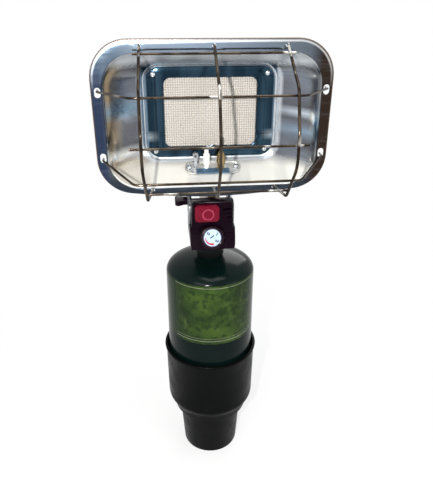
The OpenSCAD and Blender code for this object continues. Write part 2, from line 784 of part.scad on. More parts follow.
module mixing_tube() {
    z0 = pivot_z + 20.5;
    z1 = pivot_z + head_rise + tab_z + plenum_wall;
    h = z1 - z0;
    t = 1.1;
    color("#9aa0a6") at_heater() translate([0, jet_y, z0]) rotate_extrude() polygon([
        [throat_r + 4, 0], [throat_r + 1.4, 4], [throat_r, 10], [throat_r, 15],
        [throat_r + 1.7, h - 8], [throat_r + 1.7, h], [throat_r + 1.7 + t, h],
        [throat_r + 1.7 + t, h - 8], [throat_r + t, 15], [throat_r + t, 10],
        [throat_r + 1.4 + t, 4], [throat_r + 4 + t, 0]]);
}

// ---- Burner ----

module burner_plenum() {
    w = plenum_w;
    h = plenum_h;
    t = plenum_wall;
    y1 = plate_y + plenum_d;
    color("#8b8f93") at_head() difference() {
        union() {
            plate_y(shift(rrect(2 * screw_x + 13.8, 2 * screw_z + 13, 12), 0, floor_z), plate_y, plate_y + t);
            plate_y(shift(rrect(w, h, 9), 0, floor_z), plate_y, y1);
            for (x = [-stud_x, stud_x]) rod_y(3.5, y1 - 1, cover_back - cover_wall - touch, x, stud_z);
        }
        plate_y(shift(rrect(w - 2 * t, h - 2 * t, 8), 0, floor_z), plate_y - cut, y1 - t);
        for (x = [-1, 1], z = [-1, 1]) rod_y(1.85, plate_y - cut, plate_y + 4,
            x * screw_x, floor_z + z * screw_z);
        for (x = [-stud_x, stud_x]) rod_y(1.25, y1 + 1, cover_back + cut, x, stud_z);
        translate([0, flange_front + jet_y, tab_z - 2]) cylinder(r = throat_r + 3, h = 6);
    }
}

module plaque_gasket() {
    color("#e8e4da") at_head() difference() {
        plate_y(shift(rrect(plenum_w - 2.2, plenum_h - 2.2, 7.9), 0, floor_z), plate_y + touch,
            plate_y + 5.5);
        plate_y(shift(rrect(plaque_w + 0.2, plaque_h + 0.2, 5), 0, floor_z), plate_y - cut, plate_y + 10);
    }
}

module ceramic_plaque() {
    color("#e9dcc8") at_head()
        plate_y(shift(rrect(plaque_w, plaque_h, 4.9), 0, floor_z), plaque_y, plaque_y + plaque_t);
}

module burner_frame() {
    t = sheet;
    w = plaque_w - 2 * frame_lap;
    h = plaque_h - 2 * frame_lap;
    color("#b7bcc2") at_head() difference() {
        union() {
            plate_y(shift(rrect(frame_w, frame_h, 14), 0, floor_z), frame_y, frame_y + t);
            difference() {
                plate_y(shift(rrect(frame_w, frame_h, 14), 0, floor_z), frame_y, dish_d - touch);
                plate_y(shift(rrect(frame_w - 2 * t, frame_h - 2 * t, 14 - t), 0, floor_z),
                    frame_y - cut, dish_d + cut);
            }
            plate_y(shift(rrect(w + 2 * t, h + 2 * t, 6.5 + t), 0, floor_z), frame_y, plaque_y - touch);
        }
        plate_y(shift(rrect(w, h, 6.5), 0, floor_z), frame_y - cut, plaque_y + cut);
        for (x = [-1, 1], z = [-1, 1]) rod_y(1.85, frame_y - cut, frame_y + 2,
            x * screw_x, floor_z + z * screw_z);
    }
}

module burner_screws() {
    color("#d6d9dc") at_head() for (x = [-1, 1], z = [-1, 1])
        translate([x * screw_x, 0, floor_z + z * screw_z]) {
            rod_y(1.7, frame_y - 1, plate_y + 3.5);
            rod_y(3.4, frame_y - 1.7, frame_y - touch);
        }
}

// ---- Reflector ----

// Ring of the dish at depth fraction t, drawn out by s
function dish_ring(t, s) =
    let (f = pow(t, dish_curve))
    [for (p = rrect(mouth_w + (floor_w - mouth_w) * f + 2 * s,
            mouth_h + (floor_h - mouth_h) * f + 2 * s,
            mouth_r + (floor_r - mouth_r) * f + s, 7))
        [p[0], dish_d * t, p[1] + mouth_z + (floor_z - mouth_z) * f]];

// Outline of the flange, with the bulged bottom edge
function flange_outline(s) =
    let (w = flange_w / 2 - s, h = flange_h / 2 - s, r = flange_r - s,
        half = w - r, big = (half * half + flange_bulge * flange_bulge) / (2 * flange_bulge),
        open = asin(half / big))
    shift(concat(arc(w - r, h - r, r, 0, 90, 8), arc(r - w, h - r, r, 90, 180, 8),
        arc(r - w, r - h, r, 180, 262, 8),
        arc(0, big - flange_bulge - h, big, 270 - open * 0.86, 270 + open * 0.86, 8),
        arc(w - r, r - h, r, 278, 360, 8)), 0, flange_z);

module reflector() {
    steps = 7;
    back = [for (i = [0:steps]) dish_ring(i / steps, sheet)];
    front = [for (i = [steps:-1:0]) dish_ring(i / steps, 0)];
    color("#cfd6dc") at_head() difference() {
        union() {
            difference() {
                plate_y(flange_outline(0), 0, 3);
                plate_y(flange_outline(sheet), sheet, 4);
                plate_y(shift(rrect(mouth_w + sheet, mouth_h + sheet, mouth_r + sheet / 2, 7), 0,
                    mouth_z), -cut, 5);
            }
            skin(concat(back, front), false);
            difference() {
                plate_y(shift(rrect(floor_w + 1, floor_h + 1, floor_r + 0.5, 7), 0, floor_z),
                    dish_d, dish_d + sheet);
                plate_y(shift(rrect(plaque_w + 4, plaque_h + 4, 6), 0, floor_z), dish_d - cut, dish_d + 2);
            }
        }
        // Slots in the flange for the ends of the cross wires
        for (x = [-1, 1], z = slot_z) translate([x * slot_x, 0, z]) rotate([0, 90, 0])
            plate_y(stadium(slot_l, slot_w, 6), -cut, 2);
        // Holes for the ends of the uprights
        for (x = [-1, 0, 1]) {
            rod_y(upright_r + 0.3, -cut, 2, x * (upright_x + guard_spread[0]), guard_pts[0][1] - 0.45);
            rod_y(upright_r + 0.3, -cut, 2, x * (upright_x + guard_spread[6]), guard_pts[6][1] + 0.35);
        }
        for (x = [-1, 1], z = [-1, 1]) rod_y(1.85, dish_d - cut, dish_d + 2,
            x * screw_x, floor_z + z * screw_z);
        // Opening under the pilot bracket
        translate([1, pilot_y, pilot_seat() - 6]) linear_extrude(14) polygon(stadium(44, 9, 6));
    }
}

module rear_cover() {
    t = cover_wall;
    y0 = dish_d + sheet + touch;
    w0 = 2 * screw_x + 19.8;
    h0 = 2 * screw_z + 17.6;
    rings = [for (k = [[y0, 0], [y0 + 10, 0.5], [cover_back - 5, 3], [cover_back, 7]])
        [for (p = rrect(w0 - 2 * k[1], h0 - 2 * k[1], 14, 6)) [p[0], k[0], p[1] + floor_z]]];
    inner = [for (k = [[y0 - 1, 0], [y0 + 10, 0.5], [cover_back - 5.4, 3], [cover_back - t, 6.2]])
        [for (p = rrect(w0 - 2 * k[1] - 2 * t, h0 - 2 * k[1] - 2 * t, 14 - t, 6))
            [p[0], k[0], p[1] + floor_z]]];
    color("#2e3033") at_head() difference() {
        skin(rings, true);
        skin(inner, true);
        translate([-25, y0 - 2, floor_z - h0 / 2 - 2]) cube([50, 36, 14]);
        for (z = louvre_z) translate([0, 0, z]) plate_y(stadium(plenum_w - 22, 3.6, 5), cover_back - 3, cover_back + 2);
        for (x = [-stud_x, stud_x]) rod_y(1.5, cover_back - 3, cover_back + 2, x, stud_z);
    }
}

module rear_screws() {
    color("#c8ccd0") at_head() for (x = [-stud_x, stud_x]) {
        rod_y(1.15, plate_y + plenum_d + 2, cover_back + 0.6, x, stud_z);
        rod_y(2.8, cover_back + touch, cover_back + 1.8, x, stud_z);
    }
}

// ---- Wire guard ----

// Centre line of an upright, at side s = -1, 0 or 1
function upright_line(s) = bar(
    [for (i = [0:6]) [s * (upright_x + guard_spread[i]), -guard_pts[i][0], guard_pts[i][1]]],
    guard_bends, 4);

// Place [y, z] of a cross wire welded inside the uprights, on leg k at fraction f
function weld(k, f) =
    let (a = guard_pts[k], b = guard_pts[k + 1], u = unit(b - a), p = a + (b - a) * f)
    [-(p[0] + u[1] * weld_gap), p[1] - u[0] * weld_gap];

module upright(s) {
    color("#c9c2ae") at_head() tube(upright_line(s), upright_r, [1, 0, 0], 10);
}

module guard_upright_left() { upright(-1); }
module guard_upright_centre() { upright(0); }
module guard_upright_right() { upright(1); }

// Straight cross wire
module straight_rail(k, f, half) {
    p = weld(k, f);
    color("#c9c2ae") at_head() rod_x(rail_r, -half, half, p[0], p[1]);
}

// Cross wire whose ends bend back into the slots of the flange
module hooked_rail(k, f, z) {
    p = weld(k, f);
    line = bar([[-slot_x, 3, z], [-slot_x, -3, z], [-rail_end_x, p[0], p[1]],
        [rail_end_x, p[0], p[1]], [slot_x, -3, z], [slot_x, 3, z]], [3, 8, 8, 3], 4);
    color("#c9c2ae") at_head() tube(line, rail_r, [0, 0, 1], 10);
}

module guard_rail_top() { straight_rail(1, 0.1, upright_x + 5); }
module guard_rail_upper() { hooked_rail(2, 0.14, slot_z[0] + 1.5); }
module guard_rail_middle() { straight_rail(3, 0.3, upright_x + 10); }
module guard_rail_lower() { hooked_rail(4, 0.5, slot_z[1] - 1.5); }
module guard_rail_bottom() { straight_rail(4, 0.86, upright_x - 1); }

// ---- Pilot ----

// Height of the pilot bracket above the centre of the head
function pilot_seat() =
    let (t = pilot_y / dish_d, f = pow(t, dish_curve))
    mouth_z + (floor_z - mouth_z) * f - (mouth_h + (floor_h - mouth_h) * f) / 2 + 1.5;

module at_pilot() {
    at_head() translate([0, pilot_y, pilot_seat()]) children();
}

module pilot_bracket() {
    color("#7f93a8") at_pilot() difference() {
        translate([1, 0, 0]) rotate([pilot_slope, 0, 0]) difference() {
            union() {
                linear_extrude(pilot_t) polygon(stadium(pilot_w, 15, 8));
                translate([0, 0, pilot_t - 0.2]) linear_extrude(1.2) difference() {
                    polygon(stadium(pilot_w, 15, 8));
                    polygon(stadium(pilot_w - 2.4, 12.6, 8));
                }
            }
        }
        for (x = pilot_x) translate([x, 0, -8]) cylinder(r = 2.3, h = 16);
    }
}

module pilot_burner() {
    color("#d6d9dc") at_pilot() translate([pilot_x[0], 0, 0]) difference() {
        union() {
            translate([0, 0, -5]) cylinder(r = 2.2, h = 17);
            translate([0, 0, 3.9]) cylinder(r = 3.4, h = 3, $fn = 6);
            translate([0, 0, 11]) cylinder(r = 2.8, h = 4.5);
        }
        translate([0, 0, -6]) cylinder(r = 0.8, h = 18);
        translate([0, 0, 13]) cylinder(r = 2, h = 4);
        rod_y(1.2, -5, 5, 0, 13.2);
    }
}

module electrode_insulator() {
    color("#f2f0ea") at_pilot() translate([insulator_x, 0, 0]) difference() {
        union() {
            translate([0, 0, -6]) cylinder(r = 2.2, h = insulator_h + 6);
            translate([0, 0, 4]) cylinder(r = 3.3, h = insulator_h - 9.4);
        }
        translate([0, 0, -7]) cylinder(r = 0.75, h = insulator_h + 10);
    }
}

module igniter_electrode() {
    h = insulator_h;
    line = bar([[0, 0, -4], [0, 0, h + 4.2], [2.6, -0.6, h + 1.8], [6.6, -1, h + 4.4]], [1, 1], 3);
    color("#8a8f94") at_pilot() translate([insulator_x, 0, 0]) tube(line, 0.65, [0, 1, 0], 8);
}

module thermocouple_nut() {
    color("#c79a4a") at_pilot() translate([pilot_x[2], 0, 0]) difference() {
        union() {
            translate([0, 0, 4.4]) cylinder(r = 4.4, h = 9, $fn = 6);
            translate([0, 0, 13]) cylinder(r = 3.2, h = 3);
        }
        translate([0, 0, 0]) cylinder(r = 1.75, h = 18);
    }
}

module thermocouple() {
    color("#a8744a") at_pilot() translate([pilot_x[2], 0, 0]) {
        translate([0, 0, -5]) cylinder(r = 1.65, h = 33);
        translate([0, 0, 28]) cylinder(r1 = 1.65, r2 = 0.9, h = 3);
    }
}

cup_base();
fuel_cylinder();
cylinder_valve();
valve_core();
relief_valve();
regulator_body();
inlet_seal();
inlet_pin();
diaphragm();
diaphragm_spring();
diaphragm_cover();
diaphragm_screws();
safety_valve();
tip_switch();
gas_riser();
housing_front();
housing_rear();
housing_screws();
piezo_igniter();
tilt_bracket();
bracket_screws();
pivot_rivet();
valve_stem();
control_knob();
dial_plate();
ignition_button();
button_spring();
wing_knob();
clamp_screw();
head_bracket();
jet_holder();
gas_jet();
mixing_tube();
burner_plenum();
plaque_gasket();
ceramic_plaque();
burner_frame();
burner_screws();
reflector();
rear_cover();
rear_screws();
guard_upright_left();
guard_upright_centre();
guard_upright_right();
guard_rail_top();
guard_rail_upper();
guard_rail_middle();
guard_rail_lower();
guard_rail_bottom();
pilot_bracket();
pilot_burner();
electrode_insulator();
igniter_electrode();
thermocouple();
thermocouple_nut();
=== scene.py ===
"""Looks of the portable propane heater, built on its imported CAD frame. Metres, +Z up, -Y front."""

import json
import math

import bmesh
import bpy
from mathutils import Matrix, Vector

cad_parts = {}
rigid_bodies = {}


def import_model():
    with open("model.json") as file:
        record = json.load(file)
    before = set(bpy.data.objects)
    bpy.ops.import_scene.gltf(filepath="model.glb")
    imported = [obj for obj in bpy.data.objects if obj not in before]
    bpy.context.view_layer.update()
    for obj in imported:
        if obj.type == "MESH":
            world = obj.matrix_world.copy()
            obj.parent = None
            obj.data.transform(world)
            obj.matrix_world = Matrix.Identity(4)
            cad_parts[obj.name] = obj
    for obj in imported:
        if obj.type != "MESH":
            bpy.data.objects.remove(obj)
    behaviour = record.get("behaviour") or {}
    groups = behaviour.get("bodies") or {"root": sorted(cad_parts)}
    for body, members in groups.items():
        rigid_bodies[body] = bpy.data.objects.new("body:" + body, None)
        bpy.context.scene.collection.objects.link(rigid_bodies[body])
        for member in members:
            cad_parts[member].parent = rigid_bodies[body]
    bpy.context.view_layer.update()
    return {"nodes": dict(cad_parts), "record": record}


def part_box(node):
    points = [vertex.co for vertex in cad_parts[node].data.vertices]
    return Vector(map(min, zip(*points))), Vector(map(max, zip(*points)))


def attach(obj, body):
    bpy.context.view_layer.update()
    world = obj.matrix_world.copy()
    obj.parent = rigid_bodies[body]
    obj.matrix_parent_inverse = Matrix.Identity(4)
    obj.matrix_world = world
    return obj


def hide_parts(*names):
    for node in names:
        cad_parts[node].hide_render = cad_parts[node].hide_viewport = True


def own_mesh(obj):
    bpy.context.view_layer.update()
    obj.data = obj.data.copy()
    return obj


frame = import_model()

# ---- Sizes, in metres, from the frame where it has them ----
# A rise is a height above HEAD, the centre of the flange's front plane. The way of an upright is
# its corners as (out from HEAD, up), with a bend radius at each inner corner and a step sideways
# at each point. A rail is welded on a leg of that way, at a share along it; it has its straight
# half length and, where its ends hook into slots of the flange, their rise.

SHEET = 0.0009
FLANGE_LOW, FLANGE_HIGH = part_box("reflector")
FLANGE_W = FLANGE_HIGH.x - FLANGE_LOW.x
FLANGE_H, FLANGE_RISE = 0.1405, 0.00275
FLANGE_R, CORNER_SHORT = 0.034, 8
FLANGE_BULGE, BULGE_SHARE = 0.0055, 0.86
HEAD = Vector((0, FLANGE_LOW.y, FLANGE_HIGH.z - FLANGE_H / 2 - FLANGE_RISE))

MOUTH_W, MOUTH_H, MOUTH_R, MOUTH_RISE = FLANGE_W - 0.020, 0.124, 0.029, -0.0007
FLOOR_W, FLOOR_H, FLOOR_R, FLOOR_RISE = 0.131, 0.093, 0.016, 0.0012
DISH_D, DISH_CURVE = 0.037, 1.4
BURNER_W, BURNER_H, BURNER_R = 0.100, 0.0765, 0.006
SLOT_X, SLOT_RISES = FLANGE_W / 2 - 0.006, (0.0284, -0.0313)
SLOT_L, SLOT_W = 0.009, 0.0056
HOLE_RISES = (0.06715, -0.06425)
LIP = 0.003

UPRIGHT_R, RAIL_R, UPRIGHT_X = 0.0014, 0.0011, 0.066
UPRIGHT_WAY = [Vector(p) / 1000 for p in ((-3, 67.6), (4, 66.6), (47, 39), (61, 2), (60, -26),
                                          (38, -60), (-3, -64.6))]
UPRIGHT_BENDS = [0.003, 0.014, 0.030, 0.030, 0.007]
UPRIGHT_SPREAD = [-0.001, -0.001, 0, 0, 0, -0.0026, -0.007]
WELD_GAP = UPRIGHT_R + RAIL_R + 0.00005
RAILS = {
    "top": (1, 0.1, UPRIGHT_X + 0.005, None),
    "upper": (2, 0.14, UPRIGHT_X + 0.008, SLOT_RISES[0] + 0.0015),
    "middle": (3, 0.3, UPRIGHT_X + 0.010, None),
    "lower": (4, 0.5, UPRIGHT_X + 0.008, SLOT_RISES[1] - 0.0015),
    "bottom": (4, 0.86, UPRIGHT_X - 0.001, None),
}

BOTTLE_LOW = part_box("fuel_cylinder")[0]
BOTTLE_R, BOTTLE_SIDE, BOTTLE_DOME, NECK_R = 0.0495, 0.1669, 0.0186, 0.0127
LABEL_LOW, LABEL_HIGH = 0.1826, 0.2572
LABEL_RULES = ((0.1862, 0.0006, 0.5), (0.1894, 0.0004, 0.35), (0.2548, 0.0005, 0.45))

PANEL_LEAN = math.radians(20)
DIAL_RAISE, PRINT_THICK = 0.00026, 0.00008


# ---- Outlines ----

def arc(cx, cy, r, start, stop, steps):
    """Points on an arc, in degrees, both ends counted."""
    turn = [math.radians(start + (stop - start) * i / steps) for i in range(steps + 1)]
    return [(cx + r * math.cos(a), cy + r * math.sin(a)) for a in turn]


def between(a, b, steps):
    """Points inside the straight line from a to b, without its ends."""
    return [(a[0] + (b[0] - a[0]) * i / steps, a[1] + (b[1] - a[1]) * i / steps)
            for i in range(1, steps)]


def rounded(w, h, r, steps=12, sides=10):
    """Rounded rectangle, anticlockwise from the right side, with points along its sides too."""
    corners = [arc(x * (w / 2 - r), z * (h / 2 - r), r, 90 * i, 90 * i + 90, steps)
               for i, (x, z) in enumerate(((1, 1), (-1, 1), (-1, -1), (1, -1)))]
    points = []
    for i, corner in enumerate(corners):
        points += corner + between(corner[-1], corners[(i + 1) % 4][0], sides)
    return points


def flange_edge(inset, steps=12, sides=10):
    """Outline of the flange with its bulged bottom edge, point for point with rounded()."""
    w, h, r = FLANGE_W / 2 - inset, FLANGE_H / 2 - inset, FLANGE_R - inset
    half = w - r
    big = (half ** 2 + FLANGE_BULGE ** 2) / (2 * FLANGE_BULGE)
    open_ = math.degrees(math.asin(half / big)) * BULGE_SHARE
    left = arc(r - w, r - h, r, 180, 270 - CORNER_SHORT, steps)
    right = arc(w - r, r - h, r, 270 + CORNER_SHORT, 360, steps)
    top_r, top_l = arc(w - r, h - r, r, 0, 90, steps), arc(r - w, h - r, r, 90, 180, steps)
    bulge = arc(0, big - FLANGE_BULGE - h, big, 270 - open_, 270 + open_, sides - 2)
    points = top_r + between(top_r[-1], top_l[0], sides) + top_l
    points += between(top_l[-1], left[0], sides) + left + bulge + right
    points += between(right[-1], top_r[0], sides)
    return [(x, z + FLANGE_RISE) for x, z in points]


def ring(points, y, rise=0.0):
    """An outline in the plane of the head, y behind the flange."""
    return [HEAD + Vector((x, y, z + rise)) for x, z in points]


def bend(a, b, c, r, steps):
    """Points round the bend at b of a bar that runs a, b, c."""
    u, v = (a - b).normalized(), (c - b).normalized()
    turn = math.pi - math.acos(max(-1, min(1, u.dot(v))))
    back, centre = r * math.tan(turn / 2), b + (u + v).normalized() * r / math.cos(turn / 2)
    e0, e1 = b + u * back - centre, b + v * back - centre
    return [centre + (e0 * math.sin((1 - i / steps) * turn) + e1 * math.sin(i / steps * turn))
            / math.sin(turn) for i in range(steps + 1)]


def bar(points, radii, steps=10):
    """Centre line of a bent bar."""
    line = [points[0]]
    for i, r in enumerate(radii):
        line += bend(points[i], points[i + 1], points[i + 2], r, steps)
    return line + [points[-1]]


# ---- Finishes ----

def fill(tree, socket, value):
    """Sets an input to a value, or links it to an output."""
    if isinstance(value, bpy.types.NodeSocket):
        tree.links.new(value, socket)
    else:
        socket.default_value = value


def set_up(thing, **settings):
    for key, value in settings.items():
        setattr(thing, key, value)
    return thing


def add_node(tree, kind, inputs=(), **settings):
    """A new shader node with its settings and its inputs, by name or number, filled."""
    node = set_up(tree.nodes.new("ShaderNode" + kind), **settings)
    for socket, value in dict(inputs).items():
        fill(tree, node.inputs[socket], value)
    return node


class Finish:
    """A material with a Principled shader, built up in steps from Object coordinates."""

    def __init__(self, name, colour, roughness, metallic=0.0, shine=0.5):
        self.material = bpy.data.materials.new(name)
        self.material.use_nodes = True
        self.tree = self.material.node_tree
        self.shader = self.tree.nodes["Principled BSDF"]
        self.place = self.add("TexCoord").outputs["Object"]
        self.colour = (*colour, 1)
        self.drive("Base Color", self.colour).drive("Roughness", roughness)
        self.drive("Metallic", metallic).drive("Specular IOR Level", shine)

    def add(self, kind, inputs=(), **settings):
        return add_node(self.tree, kind, inputs, **settings)

    def drive(self, socket, value):
        """Fills an input of the shader itself."""
        fill(self.tree, self.shader.inputs[socket], value)
        return self

    def axis(self, name):
        """One Object coordinate."""
        return self.add("SeparateXYZ", {"Vector": self.place}).outputs[name]

    def maths(self, operation, *values):
        return self.add("Math", enumerate(values), operation=operation).outputs[0]

    def noise(self, scale, detail, stretch=None):
        """Noise, which a scale for each axis may stretch."""
        place = self.place
        if stretch:
            place = self.add("Mapping", {"Vector": place, "Scale": stretch}).outputs["Vector"]
        node = self.add("TexNoise", {"Vector": place, "Scale": scale, "Detail": detail})
        return node.outputs["Fac"]

    def spread(self, value, low, high, out_low=0, out_high=1):
        """A value from low..high taken to out_low..out_high."""
        return self.add("MapRange", {"Value": value, "From Min": low, "From Max": high,
                                     "To Min": out_low, "To Max": out_high}).outputs["Result"]

    def patches(self, scale, detail, low, high, top=1, stretch=None):
        """A mask of noise, 0 where the noise is below low and top where it is above high."""
        return self.spread(self.noise(scale, detail, stretch), low, high, 0, top)

    def tint(self, colour, *masks):
        """Mixes a colour in where the product of the masks is 1."""
        mix = self.add("Mix", {"Factor": self.times(*masks)}, data_type="RGBA")
        under, over = (socket for socket in mix.inputs if socket.type == "RGBA")
        fill(self.tree, under, self.colour)
        over.default_value = (*colour, 1)
        self.colour = next(socket for socket in mix.outputs if socket.type == "RGBA")
        return self.drive("Base Color", self.colour)

    def vary(self, scale, low, high, stretch=None):
        """Roughness that drifts between two values."""
        drift = self.noise(scale, 4.0, stretch)
        return self.drive("Roughness", self.spread(drift, 0.35, 0.65, low, high))

    def bump(self, height, strength, distance):
        """Raises the surface."""
        bump = self.add("Bump", {"Height": height, "Strength": strength, "Distance": distance})
        return self.drive("Normal", bump.outputs["Normal"])

    def times(self, first, *others):
        """The product of masks and numbers."""
        for other in others:
            first = self.maths("MULTIPLY", first, other)
        return first

    def off(self, value, middle):
        """How far a value is from the middle."""
        return self.maths("ABSOLUTE", self.maths("SUBTRACT", value, middle))

    def near(self, value, middle, reach):
        """1 where a value is at the middle, falling to 0 at the reach."""
        return self.spread(self.off(value, middle), 0.0, reach, 1.0, 0.0)

    def within(self, value, low, high, edge, strength=1):
        """The strength between two values and 0 outside them, with soft edges."""
        return self.times(self.spread(value, low, low + edge, 0, strength),
                          self.spread(value, high, high + edge, 1, 0))


def moulded(name, colour, roughness, grain=900.0, depth=0.00004, shine=0.5):
    """Moulded plastic: fine spark grain, slight drift of gloss, paler rubbed patches."""
    f = Finish(name, colour, roughness, shine=shine)
    rubbed = f.patches(45.0, 4.0, 0.55, 0.8, 0.35)
    f.tint(tuple(min(1, c * 1.6 + 0.003) for c in colour), rubbed)
    f.vary(60.0, roughness - 0.07, roughness + 0.07)
    return f.bump(f.noise(grain, 2.0), 0.35, depth)


def rolled_sheet(name, colour, low, high, stain=None, stretch=(6, 6, 900)):
    """Rolled or brushed sheet metal with its grain along one axis."""
    f = Finish(name, colour, (low + high) / 2, 1.0)
    f.tint(stain or tuple(c * 0.72 for c in colour),
           f.patches(14.0, 3.0, 0.4, 0.72, 0.55))
    f.vary(1.0, low, high, stretch)
    return f.bump(f.noise(1.0, 2.0, stretch), 0.05, 0.00005)


def turned_metal(name, colour, low, high):
    """Turned bar stock with a slight dullness in patches."""
    f = Finish(name, colour, (low + high) / 2, 1.0)
    f.tint(tuple(c * 0.6 for c in colour), f.patches(160.0, 4.0, 0.45, 0.75, 0.5))
    f.vary(220.0, low, high)
    return f.bump(f.noise(1.0, 2.0, (300, 300, 2600)), 0.08, 0.00003)


def bottle_enamel():
    """Glossy dark green enamel with a printed green band, mottled and with pale rules; the band's
    bright print is painted brighter towards the front as light, and pale specks on it are painted
    glints.
    """
    f = Finish("bottle_enamel", (0.0010, 0.0050, 0.0046), 0.15, shine=0.085)
    f.tint((0.003, 0.011, 0.0095), f.patches(22.0, 3.0, 0.4, 0.7, 0.6))
    height, across = f.axis("Z"), f.axis("X")
    band = f.within(height, LABEL_LOW, LABEL_HIGH, 0.0003)
    f.tint((0.0085, 0.022, 0.0075), band, 0.95)
    printed = f.times(band, f.spread(across, -0.0405, -0.0400))
    # Painted light: the band's bright print patches are painted brightest at the front, falling off
    # to the sides.
    lit_front_glow = f.spread(f.off(across, 0.004), 0.012, 0.047, 1.0, 0.22)
    zones = [((0.052, 0.092, 0.016), f.patches(26.0, 5.0, 0.36, 0.66, 1, (1, 1, 1.5)), lit_front_glow),
             ((0.010, 0.024, 0.007), f.patches(150.0, 6.0, 0.5, 0.6, 0.75)),
             # Painted glints: pale specks on the band.
             ((0.095, 0.140, 0.045), f.patches(90.0, 5.0, 0.6, 0.72, 0.35, (1, 1, 0.6)))]
    zones += [((0.45, 0.47, 0.36), f.within(height, low, low + wide, 0.0002, strength))
              for low, wide, strength in LABEL_RULES]
    for colour, *masks in zones:
        f.tint(colour, printed, *masks)
    f.vary(35.0, 0.13, 0.22)
    return f.bump(f.noise(60.0, 2.0), 0.06, 0.0002)


def ringed(f, centre, inner, outer, colour, strength):
    """Tints a round band about a centre."""
    offset = f.add("VectorMath", {0: f.place, 1: centre}, operation="SUBTRACT").outputs["Vector"]
    away = f.add("VectorMath", {0: offset}, operation="LENGTH").outputs["Value"]
    return f.tint(colour, f.within(away, inner - 0.0001, outer, 0.0001), strength)


def dial_print():
    """Pale blue disc printed inside a dark plum border."""
    low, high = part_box("dial_plate")
    f = moulded("dial_print", (0.40, 0.53, 0.66), 0.3, 1500.0, 0.00001, 0.2)
    return ringed(f, (low + high) / 2, 0.0087, 0.02, (0.018, 0.006, 0.018), 0.95)


def button_plastic():
    """Crimson moulding with a paler ring painted on the ring of its boss as a highlight."""
    low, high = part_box("ignition_button")
    centre = Vector(((low.x + high.x) / 2, low.y, (low.z + high.z) / 2))
    f = moulded("button_plastic", (0.125, 0.0020, 0.014), 0.26, 1200.0, 0.00002, 0.14)
    # Painted highlight: a paler ring on the ring of the boss.
    return ringed(f, centre, 0.0047, 0.0062, (0.42, 0.06, 0.11), 0.55)


def burner_tile():
    """Cream cordierite, mottled in tone, with painted shade darkening its grooves and pores."""
    f = Finish("burner_tile", (0.58, 0.56, 0.53), 0.9, shine=0.2)
    f.tint((0.49, 0.455, 0.415), f.patches(40.0, 5.0, 0.42, 0.75, 0.6))
    f.tint((0.40, 0.365, 0.325), f.patches(9.0, 2.0, 0.5, 0.8, 0.5))
    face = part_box("ceramic_plaque")[0].y
    # Painted shade: darker with depth into the grooves and pores.
    f.tint((0.27, 0.235, 0.195), f.spread(f.axis("Y"), face + 0.0001, face + 0.0004, 0, 0.6))
    return f.bump(f.noise(1500.0, 3.0), 0.25, 0.00005)


def guard_steel():
    """Nickel-plated wire, brownish, with dark and bright patches painted along it as reflections."""
    f = Finish("guard_wire", (0.078, 0.060, 0.042), 0.12, 1.0)
    # Painted dark reflections in patches along the wire.
    f.tint((0.024, 0.018, 0.014), f.patches(55.0, 2.0, 0.42, 0.56, 0.9))
    # Painted bright reflections and highlights in patches along the wire.
    f.tint((0.72, 0.70, 0.64), f.patches(38.0, 3.0, 0.60, 0.68, 0.85))
    f.vary(90.0, 0.09, 0.2)
    return f.bump(f.noise(700.0, 2.0), 0.08, 0.00003)


